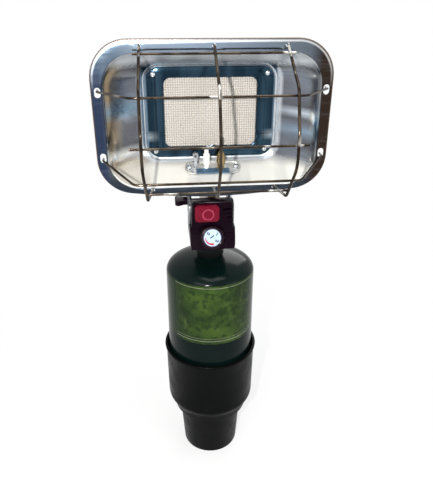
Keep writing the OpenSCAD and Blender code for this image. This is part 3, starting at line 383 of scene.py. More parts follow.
def reflector_steel():
    """Polished stainless pressing with light painted into its colour: grey walls with painted
    reflection bands down their depth, a floor and top painted pale, painted highlight lines at the
    mouth and the floor's edge, a flange painted blue, pale at its top and brown on its right as
    reflections, and a thin painted dark line on the rim."""
    f = Finish("reflector_steel", (0.145, 0.150, 0.172), 0.2, 1.0)
    spread, near, times, patches = f.spread, f.near, f.times, f.patches
    x, y, z = f.axis("X"), f.axis("Y"), f.axis("Z")
    up, deep = f.maths("SUBTRACT", z, HEAD.z), f.maths("SUBTRACT", y, HEAD.y)
    left, right = spread(x, -0.055, -0.082), spread(x, 0.055, 0.082)
    low, high = spread(up, -0.040, -0.051), spread(up, 0.044, 0.052)
    corners = f.maths("MAXIMUM", near(x, 0.054, 0.012), near(x, -0.058, 0.010))
    flange = spread(deep, 0.0007, 0.0003)
    beside = f.maths("SUBTRACT", f.maths("ABSOLUTE", x), FLANGE_W / 2 - FLANGE_R)
    above = f.maths("SUBTRACT", f.off(up, FLANGE_RISE), FLANGE_H / 2 - FLANGE_R)
    squares = [f.maths("POWER", f.maths("MAXIMUM", side, 0.0), 2.0) for side in (beside, above)]
    from_rim = f.maths("SQRT", f.maths("ADD", *squares))

    zones = [
        # Painted reflection bands down the walls, then painted reflections and highlights on the
        # left wall, the right wall and the left one again
        ((0.24, 0.27, 0.32), patches(1, 1.5, 0.42, 0.62, 0.75, (16, 3, 26))),
        ((0.060, 0.056, 0.062), patches(1, 1.5, 0.50, 0.68, 0.5, (12, 5, 40)),
         spread(x, -0.05, -0.08, 1, 0.2)),
        ((0.40, 0.32, 0.21), left, near(deep, 0.008, 0.013)),
        ((0.27, 0.42, 0.55), left, near(up, 0.009, 0.011)),
        ((0.62, 0.70, 0.78), right, near(up, 0.003, 0.006)),
        ((0.28, 0.37, 0.48), right, near(up, -0.015, 0.009)),
        ((0.10, 0.27, 0.48), right, near(deep, 0.003, 0.006), near(up, -0.004, 0.024)),
        ((0.88, 0.88, 0.86), left, near(up, -0.034, 0.008)),
        ((0.56, 0.44, 0.28), left, near(up, -0.045, 0.008)),
        # Painted light: the low wall pale and darker to its left, the high wall pale with painted
        # highlights at its corners, and painted highlight lines at the edges of the mouth and the
        # floor
        ((0.66, 0.65, 0.60), low, patches(1, 1.5, 0.78, 0.54, 1, (30, 6, 6))),
        ((0.40, 0.37, 0.31), low, spread(x, -0.058, -0.074, 0, 0.7)),
        ((0.66, 0.70, 0.73), high, patches(1, 1.5, 0.32, 0.50, 0.95, (26, 6, 6))),
        ((0.92, 0.95, 0.98), high, f.maths("MINIMUM", corners, 0.85)),
        ((0.90, 0.93, 0.96), near(deep, 0.0023, 0.0013), spread(x, 0.10, 0.08, 0.4, 0.95)),
        ((0.76, 0.81, 0.86), spread(deep, DISH_D - 0.0045, DISH_D - 0.0025, 0, 0.68)),
        # Painted reflections on the whole flange, its foot, its top, its upper left corner, and its
        # left and right sides
        ((0.085, 0.105, 0.130), flange, 0.96),
        ((0.030, 0.042, 0.060), flange, spread(up, -0.046, -0.058, 0, 0.95)),
        ((0.31, 0.39, 0.50), flange, spread(up, 0.040, 0.062), spread(x, 0.085, -0.02, 0.12, 1)),
        ((0.145, 0.205, 0.280), flange, spread(x, -0.070, -0.088, 0, 0.9),
         spread(up, 0.015, 0.045)),
        ((0.034, 0.052, 0.108), flange, spread(x, -0.097, -0.102, 0, 0.95),
         spread(up, 0.055, 0.030, 0.35, 1)),
        ((0.036, 0.022, 0.015), flange, spread(x, 0.086, 0.098, 0, 0.97)),
        # The painted highlight line inside the rim, the painted dark reflection line on the rim, and
        # fine wear all over
        ((0.78, 0.78, 0.76), near(from_rim, FLANGE_R - 0.0024, 0.0012),
         spread(up, 0.030, 0.055, 0, 0.7)),
        ((0.105, 0.075, 0.052), spread(from_rim, FLANGE_R - 0.0014, FLANGE_R - 0.0010, 0, 0.92),
         spread(up, -0.058, -0.050)),
        ((0.62, 0.66, 0.72), patches(1, 4.0, 0.5, 0.75, 0.06, (60, 60, 500))),
    ]
    for colour, *masks in zones:
        f.tint(colour, *masks)

    inside = spread(deep, 0.0003, 0.0014)
    plain = times(inside, f.maths("MAXIMUM", low, times(high, 0.6)))
    f.drive("Metallic", spread(plain, 0, 1, 1.0, 0.25))
    rough = spread(f.noise(1.0, 4.0, (9, 400, 400)), 0.35, 0.65, 0.12, 0.18)
    dulled = times(inside, f.maths("ADD", times(low, 0.42), times(high, 0.25)))
    worn = times(spread(from_rim, FLANGE_R - 0.0042, FLANGE_R - 0.0014, 0, 0.26),
                 spread(up, 0.020, 0.045))
    f.drive("Roughness", f.maths("ADD", rough, f.maths("ADD", dulled, worn)))
    return f.bump(f.noise(1.0, 2.0, (7, 260, 260)), 0.008, 0.00012)


def frame_steel():
    """Heat-blued mirror of the burner frame, with upright bands painted on as reflections, a painted
    shadow line on its left, painted highlights low at its sides and painted highlight bands along
    its outer sides.
    """
    f = Finish("burner_frame_steel", (0.014, 0.032, 0.052), 0.14, 1.0)
    x, aside = f.axis("X"), f.maths("ABSOLUTE", f.axis("X"))
    # Painted reflections: soft upright bands.
    f.tint((0.040, 0.082, 0.122), f.patches(1.0, 2.0, 0.42, 0.66, 0.9, (70, 10, 7)))
    # Painted shadow of the left upright: a dark line down the left of the frame.
    f.tint((0.012, 0.018, 0.026), f.near(x, -0.0530, 0.0016), 0.9)
    # Painted highlights low at both sides.
    f.tint((0.60, 0.72, 0.80), f.near(f.axis("Z"), HEAD.z - 0.021, 0.006),
           f.spread(aside, 0.050, 0.062, 0, 0.75))
    # Painted highlight bands along the outer sides.
    f.tint((0.24, 0.36, 0.48), f.spread(aside, 0.0605, 0.0625, 0, 0.8))
    f.vary(1.0, 0.08, 0.2, (9, 300, 300))
    return f.bump(f.noise(1.0, 2.0, (7, 220, 220)), 0.05, 0.0001)


def pilot_plate():
    """Bright plated strip, blued by the flame along its front half between the screws."""
    low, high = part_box("pilot_bracket")
    f = rolled_sheet("pilot_plate", (0.78, 0.79, 0.78), 0.16, 0.3)
    start, stop = (low.y * share + high.y * (1 - share) for share in (0.55, 0.62))
    half = f.spread(f.axis("Y"), start, stop)
    aside = f.off(f.axis("X"), (low.x + high.x) / 2)
    return f.tint((0.070, 0.170, 0.290), half, f.spread(aside, 0.0160, 0.0175, 0.92, 0))


FINISH = {
    "black_plastic": moulded("cup_plastic", (0.0024, 0.0027, 0.0027), 0.34, shine=0.032),
    "green_paint": bottle_enamel(),
    "brass": turned_metal("brass", (0.50, 0.36, 0.15), 0.2, 0.36),
    "black_casting": moulded("black_casting", (0.003, 0.0035, 0.0035), 0.28, 500.0, 0.00006, 0.1),
    "black_rubber": moulded("rubber", (0.012, 0.012, 0.012), 0.75, shine=0.2),
    "zinc_steel": turned_metal("zinc_steel", (0.60, 0.62, 0.64), 0.18, 0.34),
    "white_plastic": moulded("ivory_plastic", (0.72, 0.70, 0.64), 0.45),
    "housing_plastic": moulded("housing_plastic", (0.0060, 0.0018, 0.0050), 0.25, 700.0,
                               shine=0.032),
    "grey_sheet": rolled_sheet("galvanised_sheet", (0.22, 0.23, 0.25), 0.28, 0.45),
    "knob_plastic": moulded("knob_plastic", (0.0075, 0.0020, 0.0060), 0.2, 1200.0, 0.00002, 0.09),
    "dial_print": dial_print(),
    "red_plastic": button_plastic(),
    "white_fibre": moulded("ceramic_fibre", (0.75, 0.72, 0.66), 0.95, 1800.0, 0.0002, 0.1),
    "burner_ceramic": burner_tile(),
    "polished_steel": reflector_steel(),
    "black_paint": moulded("black_enamel", (0.007, 0.007, 0.008), 0.4, 1400.0, shine=0.15),
    "guard_wire": guard_steel(),
    "pilot_steel": rolled_sheet("pilot_steel", (0.50, 0.56, 0.62), 0.16, 0.3, (0.14, 0.24, 0.36)),
    "white_glaze": moulded("white_glaze", (0.85, 0.84, 0.80), 0.15, 300.0, 0.00001),
    "copper_rod": turned_metal("copper_rod", (0.42, 0.25, 0.13), 0.22, 0.38),
}
FRAME_STEEL = frame_steel()
DIAL_RED = moulded("dial_red", (0.42, 0.01, 0.03), 0.3, shine=0.2)
DIAL_INK = moulded("dial_ink", (0.02, 0.03, 0.09), 0.4, shine=0.2)
NODE_FINISH = {
    "cylinder_valve": moulded("neck_enamel", (0.0020, 0.0045, 0.0042), 0.3, 400.0, 0.00003, 0.1),
    "pilot_bracket": pilot_plate(),
}

for subpart in frame["record"]["subparts"]:
    materials = frame["nodes"][subpart["node"]].data.materials
    materials.clear()
    finish = NODE_FINISH.get(subpart["node"], FINISH[subpart["material_slot"]])
    materials.append(finish.material)


# ---- Making pieces ----

def new_object(name, data):
    made = bpy.data.objects.new(name, data)
    bpy.context.scene.collection.objects.link(made)
    return made


def mesh_of(name, points, faces=(), edges=()):
    mesh = bpy.data.meshes.new(name)
    mesh.from_pydata([tuple(p) for p in points], edges, faces)
    mesh.update()
    return mesh


def edited(mesh, *steps):
    """The mesh after some bmesh steps."""
    work = bmesh.new()
    work.from_mesh(mesh)
    for step in steps:
        step(work)
    work.to_mesh(mesh)
    work.free()
    return mesh


def merged(distance):
    return lambda work: bmesh.ops.remove_doubles(work, verts=work.verts, dist=distance)


def turned_out(work):
    bmesh.ops.recalc_face_normals(work, faces=work.faces)


def realized(host):
    """The mesh of a host with its modifiers carried out; the host goes."""
    graph = bpy.context.evaluated_depsgraph_get()
    mesh = bpy.data.meshes.new_from_object(host.evaluated_get(graph), depsgraph=graph)
    bpy.data.batch_remove([host, host.data])
    return mesh


def settled(host, angle=35.0):
    """The host as a plain smooth piece of the same name."""
    name = host.name
    mesh = realized(host)
    mesh.name = name
    mesh.polygons.foreach_set("use_smooth", [True] * len(mesh.polygons))
    mesh.set_sharp_from_angle(angle=math.radians(angle))
    return new_object(name, mesh)


def modify(host, kind, **settings):
    """Adds a modifier with its settings."""
    set_up(host.modifiers.new(kind.lower(), kind), **settings)


def place(piece, body, slot, *stands_for, finish=None):
    """Gives a finished piece its material and its body, and hides the nodes it stands for."""
    if not any(piece.data.materials):
        piece.data.materials.clear()
        piece.data.materials.append((finish or FINISH[slot]).material)
    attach(piece, body)
    if stands_for:
        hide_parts(*stands_for)


def loft(name, rings, capped=False):
    """A skin over rings of the same number of points."""
    count = len(rings[0])
    points = [p for r in rings for p in r]
    faces = []
    for a in range(0, len(points) - count, count):
        b = a + count
        faces += [(a + j, a + (j + 1) % count, b + (j + 1) % count, b + j) for j in range(count)]
    if capped:
        faces += [tuple(range(count - 1, -1, -1)), tuple(range(len(points) - count, len(points)))]
    return new_object(name, edited(mesh_of(name, points, faces), merged(1e-6), turned_out))


def turned(name, profile, segments, angle):
    """A closed profile of (radius, height) turned round the Z axis."""
    def spin(work):
        rings = [[work.verts.new((r * math.cos(2 * math.pi * i / segments),
                                  r * math.sin(2 * math.pi * i / segments), z))
                  for i in range(segments if r > 0 else 1)] for r, z in profile]
        for a, b in zip(rings, rings[1:] + rings[:1]):
            for i in range(segments):
                j = (i + 1) % segments
                corners = [a[i % len(a)], a[j % len(a)], b[j % len(b)], b[i % len(b)]]
                if len(set(corners)) > 2:
                    work.faces.new(list(dict.fromkeys(corners)))

    return settled(new_object(name, edited(bpy.data.meshes.new(name), spin, turned_out)), angle)


def softened(node, name, width, angle=35.0, segments=2):
    """A copy of a CAD node with its sharp edges broken, as a moulding or pressing has them."""
    def flattened(work):
        bmesh.ops.dissolve_limit(work, angle_limit=math.radians(0.8), verts=work.verts,
                                 edges=work.edges)

    mesh = frame["nodes"][node].data.copy()
    mesh.materials.clear()
    host = new_object(name, edited(mesh, merged(2e-6), flattened))
    modify(host, "BEVEL", width=width, segments=segments, limit_method="ANGLE",
           angle_limit=math.radians(angle), use_clamp_overlap=True, miter_outer="MITER_ARC")
    return settled(host, 40.0)


def draw_in(piece, low, high, share):
    """Narrows a shell in a straight taper from one height down to its foot."""
    def taper(work):
        bmesh.ops.bisect_plane(work, geom=work.verts[:] + work.edges[:] + work.faces[:], dist=1e-6,
                               plane_co=(0, 0, high), plane_no=(0, 0, 1))
        for vertex in work.verts:
            vertex.co.x *= 1 - share * max(0.0, (high - vertex.co.z) / (high - low))

    edited(piece.data, taper)


# ---- Node trees for what repeats ----

def node_tree(name, inputs, nodes, links):
    """A geometry tree with named inputs that ends in Realize Instances and Set Material. Its nodes
    have labels, and a link is "label.output > label.input"."""
    tree = bpy.data.node_groups.new(name, "GeometryNodeTree")
    for label, kind in {"Geometry": "Geometry", **inputs, "Finish": "Material"}.items():
        tree.interface.new_socket(label, in_out="INPUT", socket_type="NodeSocket" + kind)
    tree.interface.new_socket("Geometry", in_out="OUTPUT", socket_type="NodeSocketGeometry")
    nodes = {"real": "RealizeInstances", "paint": "SetMaterial", **nodes}
    made = {label: tree.nodes.new("GeometryNode" + kind) for label, kind in nodes.items()}
    made["start"] = tree.nodes.new("NodeGroupInput")
    made["end"] = tree.nodes.new("NodeGroupOutput")
    for link in (*links, "real.Geometry > paint.Geometry", "start.Finish > paint.Material",
                 "paint.Geometry > end.Geometry"):
        (a, output), (b, socket) = (side.split(".") for side in link.split(" > "))
        tree.links.new(made[a].outputs[output], made[b].inputs[socket])
    return tree, made


def run_tree(tree, host, angle, finish, **values):
    """Runs a tree on a host object with its inputs set, and returns the plain mesh piece."""
    modifier = host.modifiers.new(tree.name, "NODES")
    modifier.node_group = tree
    values["Finish"] = finish.material
    for item in tree.interface.items_tree:
        if item.in_out == "INPUT" and item.name in values:
            modifier[item.identifier] = values[item.name]
    return settled(host, angle)


WIRE, wire_nodes = node_tree(
    "round_wire", {"Radius": "Float", "Sides": "Int"},
    {"way": "MeshToCurve", "section": "CurvePrimitiveCircle", "skin": "CurveToMesh"},
    ("start.Geometry > way.Mesh", "start.Radius > section.Radius",
     "start.Sides > section.Resolution", "way.Curve > skin.Curve",
     "section.Curve > skin.Profile Curve", "skin.Mesh > real.Geometry"))
wire_nodes["skin"].inputs["Fill Caps"].default_value = True

COPY_NODES = {"spots": "MeshToPoints", "shape": "ObjectInfo", "copies": "InstanceOnPoints"}
COPY_LINKS = ("start.Shape > shape.Object", "spots.Points > copies.Points",
              "shape.Geometry > copies.Instance", "copies.Instances > real.Geometry")
REPEAT, _ = node_tree("repeated_shape", {"Shape": "Object"}, COPY_NODES,
                      ("start.Geometry > spots.Mesh", *COPY_LINKS))
PORES, _ = node_tree(
    "pore_grid",
    {"Width": "Float", "Height": "Float", "Columns": "Int", "Rows": "Int", "Shape": "Object"},
    {"grid": "MeshGrid", **COPY_NODES},
    ("start.Width > grid.Size X", "start.Height > grid.Size Y", "start.Columns > grid.Vertices X",
     "start.Rows > grid.Vertices Y", "grid.Mesh > spots.Mesh", *COPY_LINKS))


def wire(name, line, radius, finish, sides=16):
    """A piece of round wire along a line."""
    edges = [(i, i + 1) for i in range(len(line) - 1)]
    host = new_object(name, mesh_of(name, line, edges=edges))
    return run_tree(WIRE, host, 50.0, finish, Radius=radius, Sides=sides)


def repeated(name, shape, spots, finish):
    """The shape at each of the spots, as one piece; the shape itself goes."""
    host = new_object(name, mesh_of(name, spots))
    piece = run_tree(REPEAT, host, 30.0, finish, Shape=shape)
    bpy.data.objects.remove(shape)
    return piece


# ---- Cup and cylinder ----

def swept(cx, cz, rx, rz, angles, power_x=1.0, power_z=1.0):
    """Points (cx + rx sin a, cz + rz (1 - cos a)) of a fillet, each term to its power."""
    return [(cx + rx * math.sin(a) ** power_x, cz + rz * (1 - math.cos(a)) ** power_z)
            for a in map(math.radians, angles)]


def make_cup():
    """The stepped cup base with moulded fillets at its steps and rim."""
    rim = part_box("cup_base")[1].z
    seat_r, wall, step_r, foot_r, heel_r = 0.0503, 0.0016, 0.0446, 0.0380, 0.03375
    foot_z, bowl_z, seat_z, stop_z = 0.0616, 0.0839, 0.0861, 0.0744
    sheet, floor, hollow, lip = 0.0022, 0.0025, 0.0008, 0.003
    out = seat_r + wall
    bowl_r, bowl_low = 0.0046, bowl_z - 0.0095
    profile = [(0, hollow), (heel_r - 0.006, hollow), (heel_r - 0.0055, 0), (heel_r - 0.0012, 0),
               (heel_r - 0.0003, 0.0003), (heel_r, 0.0012), (foot_r - 0.00005, foot_z - 0.0009),
               (foot_r + 0.0002, foot_z - 0.0003), (foot_r + 0.0009, foot_z),
               (step_r - 0.0012, foot_z), (step_r - 0.0003, foot_z + 0.0003),
               (step_r, foot_z + 0.0012)]
    profile += [(step_r + (out - bowl_r - step_r) * t, foot_z + (bowl_low - foot_z) * t)
                for t in (0.5, 0.92)]
    profile += swept(out - bowl_r, bowl_low, bowl_r, 0.0095, (12, 28, 45, 60, 75, 90), 1.1, 0.9)
    profile += [(out + 0.0011, rim - lip - 0.0006), (out + 0.0014, rim - lip),
                (out + 0.0024, rim - lip + 0.0003)]
    profile += [(out + 0.0019 + 0.0008 * math.cos(math.radians(a)),
                 rim - 0.0009 + 0.0009 * math.sin(math.radians(a))) for a in (0, 30, 60, 90)]
    profile += [(seat_r + 0.0016, rim), (seat_r + 0.0011, rim - 0.0006), (seat_r, seat_z),
                (0.0451, seat_z), (0.0449, stop_z), (step_r - sheet, foot_z + sheet),
                (foot_r - sheet, foot_z + sheet), (heel_r - 0.002, floor), (0, floor)]
    place(turned("cup", profile, 160, 28.0), "base", "black_plastic", "cup_base")


def make_bottle():
    """The steel cylinder with its drawn shoulder, foot crimp and neck collar."""
    low, top = BOTTLE_LOW.z, BOTTLE_LOW.z + BOTTLE_SIDE
    sheet, collar, crimp, dish, power = 0.0009, NECK_R - 0.0012, 0.004, 0.007, 1.1
    end = math.acos(((NECK_R + 0.0016) / BOTTLE_R) ** power)

    def dome(r, z, steps=22):
        turn = [end * i / steps for i in range(steps + 1)]
        return [(r * math.cos(a) ** (1 / power),
                 z + BOTTLE_DOME * (math.sin(a) / math.sin(end)) ** (1 / power)) for a in turn]

    profile = [(0, low + dish), (0.014, low + 0.0064), (0.026, low + 0.0044), (0.036, low + 0.0009),
               (0.039, low)]
    profile += swept(BOTTLE_R - crimp, low, crimp, crimp, range(0, 91, 15))
    profile += [(BOTTLE_R, low + (top - low) * i / 12) for i in range(1, 12)]
    profile += dome(BOTTLE_R, top)
    profile += [(collar, top + BOTTLE_DOME), (collar, top + BOTTLE_DOME - sheet)]
    profile += dome(BOTTLE_R - sheet, top - sheet)[::-1]
    profile += [(BOTTLE_R - sheet, low + 0.0042), (BOTTLE_R - 0.0042, low + sheet),
                (0.0392, low + sheet), (0.026, low + 0.0044 + sheet), (0, low + dish + sheet)]
    place(turned("cylinder_shell", profile, 192, 50.0), "cylinder", "green_paint", "fuel_cylinder")


# ---- Reflector and burner ----

def dish_ring(t):
    """Ring of the dish at depth fraction t."""
    f = t ** DISH_CURVE
    r = MOUTH_R + (FLOOR_R - MOUTH_R) * f
    points = rounded(MOUTH_W + (FLOOR_W - MOUTH_W) * f, MOUTH_H + (FLOOR_H - MOUTH_H) * f, r)
    return ring(points, DISH_D * t, MOUTH_RISE + (FLOOR_RISE - MOUTH_RISE) * f)


def cut_out(host, points, back):
    """Cuts an outline in X and Z through the sheet, from in front of HEAD to behind it."""
    rings = [[HEAD + Vector((x, y, z)) for x, z in points] for y in (-0.002, back)]
    cutter = loft("cutter", rings, capped=True)
    modify(host, "BOOLEAN", operation="DIFFERENCE", solver="MANIFOLD", object=cutter)
    return cutter


def make_reflector():
    """The pressed sheet: floor, curved walls, flange with rolled lip, and slots and holes."""
    floor = [ring(rounded(BURNER_W, BURNER_H, BURNER_R), DISH_D, FLOOR_RISE)]
    floor += [ring(rounded(FLOOR_W - d, FLOOR_H - d, FLOOR_R - d / 2), y, FLOOR_RISE)
              for d, y in ((0.0016, DISH_D), (0.0004, DISH_D - 0.0003))]
    walls = [dish_ring(1 - i / 26) for i in range(1, 26)]
    edge = [ring(rounded(MOUTH_W + d, MOUTH_H + d, MOUTH_R), y, MOUTH_RISE)
            for d, y in ((0.0, 0.0008), (0.0003, 0.0002), (0.0012, 0.0))]
    flange = [ring(flange_edge(inset), y)
              for inset, y in ((0.0012, 0.0), (0.0004, 0.0002), (0.0, 0.0009), (0.0, LIP))]
    host = loft("reflector_shell", floor + walls + edge + flange)
    if host.data.polygons[0].normal.y > 0:
        host.data.flip_normals()
    modify(host, "SOLIDIFY", thickness=SHEET, offset=-1)
    half = (SLOT_L - SLOT_W) / 2
    slot = arc(0, half, SLOT_W / 2, 0, 180, 10) + arc(0, -half, SLOT_W / 2, 180, 360, 10)
    cutters = [cut_out(host, [(x + a, z + b) for a, b in slot], 0.002)
               for x in (-SLOT_X, SLOT_X) for z in SLOT_RISES]
    for side in (-1, 0, 1):
        for spread, z in zip((UPRIGHT_SPREAD[0], UPRIGHT_SPREAD[-1]), HOLE_RISES):
            hole = arc(side * (UPRIGHT_X + spread), z, UPRIGHT_R + 0.0004, 0, 345, 23)
            cutters.append(cut_out(host, hole, 0.0025))
    piece = settled(host, 32.0)
    for cutter in cutters:
        bpy.data.objects.remove(cutter)
    place(piece, "head", "polished_steel", "reflector")


def make_burner_frame():
    """Pressed frame with rolled outer and inner edges."""
    low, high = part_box("burner_frame")
    w, h, r, in_w, in_h, in_r = high.x - low.x, high.z - low.z, 0.014, 0.090, 0.0665, 0.0065
    front, back = low.y - HEAD.y, high.y - HEAD.y
    rings = [ring(rounded(w - d, h - d, r - d / 2), front + y, FLOOR_RISE)
             for d, y in ((0, back - front), (0, 0.0014), (0.0006, 0.0004), (0.0024, 0))]
    rings += [ring(rounded(in_w + d, in_h + d, in_r + d / 2), front + y, FLOOR_RISE)
              for d, y in ((0.0030, 0), (0.0008, 0.0005), (0, 0.0013), (0, 0.0027))]
    host = loft("burner_surround", rings)
    if sum(p.normal.y * p.area for p in host.data.polygons) > 0:
        host.data.flip_normals()
    modify(host, "SOLIDIFY", thickness=0.0008, offset=-1)
    place(settled(host, 32.0), "head", "polished_steel", "burner_frame", finish=FRAME_STEEL)


def tile_cell(dx, dz):
    """One cell of the tile about a pore: four corner pads, the grooves between, and the pore."""
    half, groove, pore, deep = 0.00032, 0.00055, 0.00036 * 0.8, 0.0020
    xs, zs = (-dx / 2, -half, half, dx / 2), (-dz / 2, -half, half, dz / 2)
    points, faces = [], []

    def patch_of(*corners):
        faces.append(tuple(range(len(points), len(points) + len(corners))))
        points.extend(Vector(c) for c in corners)

    for i in range(3):
        for j in range(3):
            if i != 1 or j != 1:
                y = groove if 1 in (i, j) else 0.0
                patch_of((xs[i], y, zs[j]), (xs[i + 1], y, zs[j]), (xs[i + 1], y, zs[j + 1]),
                         (xs[i], y, zs[j + 1]))
    for i, j in ((0, 1), (0, 2), (2, 1), (2, 2)):
        patch_of((xs[i], 0, zs[j]), (xs[i + 1], 0, zs[j]), (xs[i + 1], groove, zs[j]),
                 (xs[i], groove, zs[j]))
        patch_of((xs[j], 0, zs[i]), (xs[j], groove, zs[i]), (xs[j], groove, zs[i + 1]),
                 (xs[j], 0, zs[i + 1]))
    rim = [(half * a, groove, half * b) for a, b in ((-1, -1), (0, -1), (1, -1), (1, 0), (1, 1),
                                                     (0, 1), (-1, 1), (-1, 0))]
    mouth = [(x, groove, z) for x, z in arc(0, 0, pore, 225, 540, 7)]
    pit = [(x, deep, z) for x, y, z in mouth]
    for k in range(8):
        n = (k + 1) % 8
        patch_of(rim[k], rim[n], mouth[n], mouth[k])
        patch_of(mouth[k], mouth[n], pit[n], pit[k])
    patch_of(*pit)
    return points, faces


def make_burner_tile():
    """Ceramic tile: square pads with grooves and a pore at every crossing."""
    low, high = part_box("ceramic_plaque")
    w, h, middle = high.x - low.x, high.z - low.z, HEAD.z + FLOOR_RISE
    columns, rows, field_w, field_h = 41, 30, 0.0922, 0.0690
    dx, dz = field_w / columns, field_h / rows
    finish = FINISH["burner_ceramic"]
    points, faces = tile_cell(dx, dz)
    cell = new_object("cell", mesh_of("cell", [(p.x, p.z, -p.y) for p in points], faces))
    cell.data.materials.append(finish.material)
    host = new_object("burner_pores", mesh_of("burner_pores", [(0, 0, 0)]))
    piece = run_tree(PORES, host, 30.0, finish, Width=field_w - dx, Height=field_h - dz,
                     Columns=columns, Rows=rows, Shape=cell)
    bpy.data.objects.remove(cell)
    piece.data.transform(Matrix.Translation((0, low.y, middle))
                         @ Matrix.Rotation(math.radians(90), 4, "X"))

    def backed(work):
        outline, inner = rounded(w, h, 0.0049, 8, 8), rounded(field_w, field_h, 0.0002, 8, 8)
        rims = [[work.verts.new((x, y, z + middle)) for x, z in points]
                for points, y in ((inner, low.y), (outline, low.y), (outline, high.y))]
        for a, b in zip(rims, rims[1:]):
            for i in range(len(a)):
                j = (i + 1) % len(a)
                work.faces.new((a[i], b[i], b[j], a[j]))
        work.faces.new(rims[2][::-1])

    edited(piece.data, backed, merged(0.00001), turned_out)
    place(piece, "head", "burner_ceramic", "ceramic_plaque")


def screw_head(r, h, shank_r, shank_l, direction):
    """Pan-head screw with a cross recess; the underside of its head is at the origin."""
    turn = [2 * math.pi * i / 24 for i in range(24)]
    steps = [(shank_r * 0.5, -shank_l), (shank_r, -shank_l + shank_r * 0.6), (shank_r, 0), (r, 0),
             (r, h * 0.25)]
    steps += [(r * math.cos(a), h * (0.25 + 0.75 * math.sin(a)))
              for a in map(math.radians, (25, 50, 70))]
    rings = [[Vector((radius * math.cos(a), radius * math.sin(a), z)) for a in turn]
             for radius, z in steps]
    cross = [max(abs(math.cos(2 * a)) ** 3, 0.3) * r * 0.6 for a in turn]
    for shrink, z in ((1.0, h), (0.8, h * 0.45)):
        rings.append([Vector((c * shrink * math.cos(a), c * shrink * math.sin(a), z))
                      for a, c in zip(turn, cross)])
    host = loft("screw", rings, capped=True)
    host.data.transform(direction.to_track_quat("Z", "Y").to_matrix().to_4x4())
    return host


def make_screws():
    """Screws of the burner frame, of the rear cover and of the pilot bracket."""
    def fitted(name, spots, shape, *stands_for):
        piece = repeated(name, shape, spots, FINISH["zinc_steel"])
        place(piece, "head", "zinc_steel", *stands_for)

    low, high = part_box("burner_screws")
    edge, r, h = 0.0034, 0.0024, 0.0015
    seat = low.y + 0.0016
    spots = [(side * ((high.x - low.x) / 2 - edge), seat, z)
             for side in (-1, 1) for z in (low.z + edge, high.z - edge)]
    fitted("burner_screw_set", spots, screw_head(r, h, 0.0017, high.y - seat, Vector((0, -1, 0))),
           "burner_screws")
    low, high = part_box("rear_screws")
    edge, r, h = 0.0028, 0.0028, 0.0017
    seat = high.y - h
    spots = [(x, seat, (low.z + high.z) / 2) for x in (low.x + edge, high.x - edge)]
    fitted("cover_screw_set", spots, screw_head(r, h, 0.00115, seat - low.y, Vector((0, 1, 0))),
           "rear_screws")
    low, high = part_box("pilot_bracket")
    lean, apart = math.radians(31), 0.0235
    out = Vector((0, -math.sin(lean), math.cos(lean)))
    seat = (low + high) / 2 + Vector((0, 0, 0.0001)) + out * 0.0004
    fitted("pilot_bracket_screws", [seat + Vector((x, 0, 0)) for x in (-apart, apart)],
           screw_head(0.0027, 0.0016, 0.0013, 0.003, out))


# ---- Wire guard ----

def upright_line(side):
    """Centre line of an upright; side is -1, 0 or 1."""
    return bar([HEAD + Vector((side * (UPRIGHT_X + spread), -out, up))
                for (out, up), spread in zip(UPRIGHT_WAY, UPRIGHT_SPREAD)], UPRIGHT_BENDS)


def weld(leg, share):
    """The point inside the uprights at a weld, as y and z from HEAD, and the way of the leg."""
    a, b = UPRIGHT_WAY[leg:leg + 2]
    u, p = (b - a).normalized(), a + (b - a) * share
    return -(p.x + u.y * WELD_GAP), p.y - u.x * WELD_GAP, u


def rail_line(leg, share, half, rise):
    """Centre line of a cross wire."""
    y, z, _ = weld(leg, share)
    if rise is None:
        return [HEAD + Vector((x, y, z)) for x in (-half, -half / 3, half / 3, half)]
    hook, corner = 0.003, 0.008
    points = [(-SLOT_X, hook, rise), (-SLOT_X, -hook, rise), (-half, y, z), (half, y, z),
              (SLOT_X, -hook, rise), (SLOT_X, hook, rise)]
    return bar([HEAD + Vector(p) for p in points], [hook, corner, corner, hook], 8)


def make_guard():
    """Uprights, cross wires and the small beads where they are welded."""
    finish = FINISH["guard_wire"]
    for side, name in ((-1, "left"), (0, "centre"), (1, "right")):
        piece = wire("wire_upright_" + name, upright_line(side), UPRIGHT_R, finish, 18)
        place(piece, "head", "guard_wire", "guard_upright_" + name)
    for name, spec in RAILS.items():
        place(wire("wire_rail_" + name, rail_line(*spec), RAIL_R, finish), "head", "guard_wire",
              "guard_rail_" + name)
    mesh = edited(bpy.data.meshes.new("bead"),
                  lambda work: bmesh.ops.create_icosphere(work, subdivisions=2, radius=0.0011))
    mesh.transform(Matrix.Diagonal((1.25, 0.75, 1.0, 1)))
    spots = []
    for leg, share, *_ in RAILS.values():
        y, z, way = weld(leg, share)
        a, b = UPRIGHT_SPREAD[leg:leg + 2]
        x, reach = UPRIGHT_X + a + (b - a) * share, RAIL_R * 0.9
        spots += [HEAD + Vector((side * x, y + way.y * reach, z + way.x * reach))
                  for side in (-1, 0, 1)]
    place(repeated("weld_beads", new_object("bead", mesh), spots, finish), "head", "guard_wire")


# ---- Controls ----

def make_button_spring():
    """Coil of wire for the button's return spring."""
    low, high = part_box("button_spring")
    centre, turns, steps, r = (low + high) / 2, 3, 32, 0.00045
    start, stop, coil = low.y + r, high.y - r, (high.z - low.z) / 2 - r
    line = [Vector((centre.x + coil * math.cos(2 * math.pi * i / steps),
                    start + (stop - start) * i / (turns * steps),
                    centre.z + coil * math.sin(2 * math.pi * i / steps)))
            for i in range(turns * steps + 1)]
    piece = wire("button_return_spring", line, r, FINISH["zinc_steel"], 10)
    place(piece, "heater", "zinc_steel", "button_spring")
    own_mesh(piece)


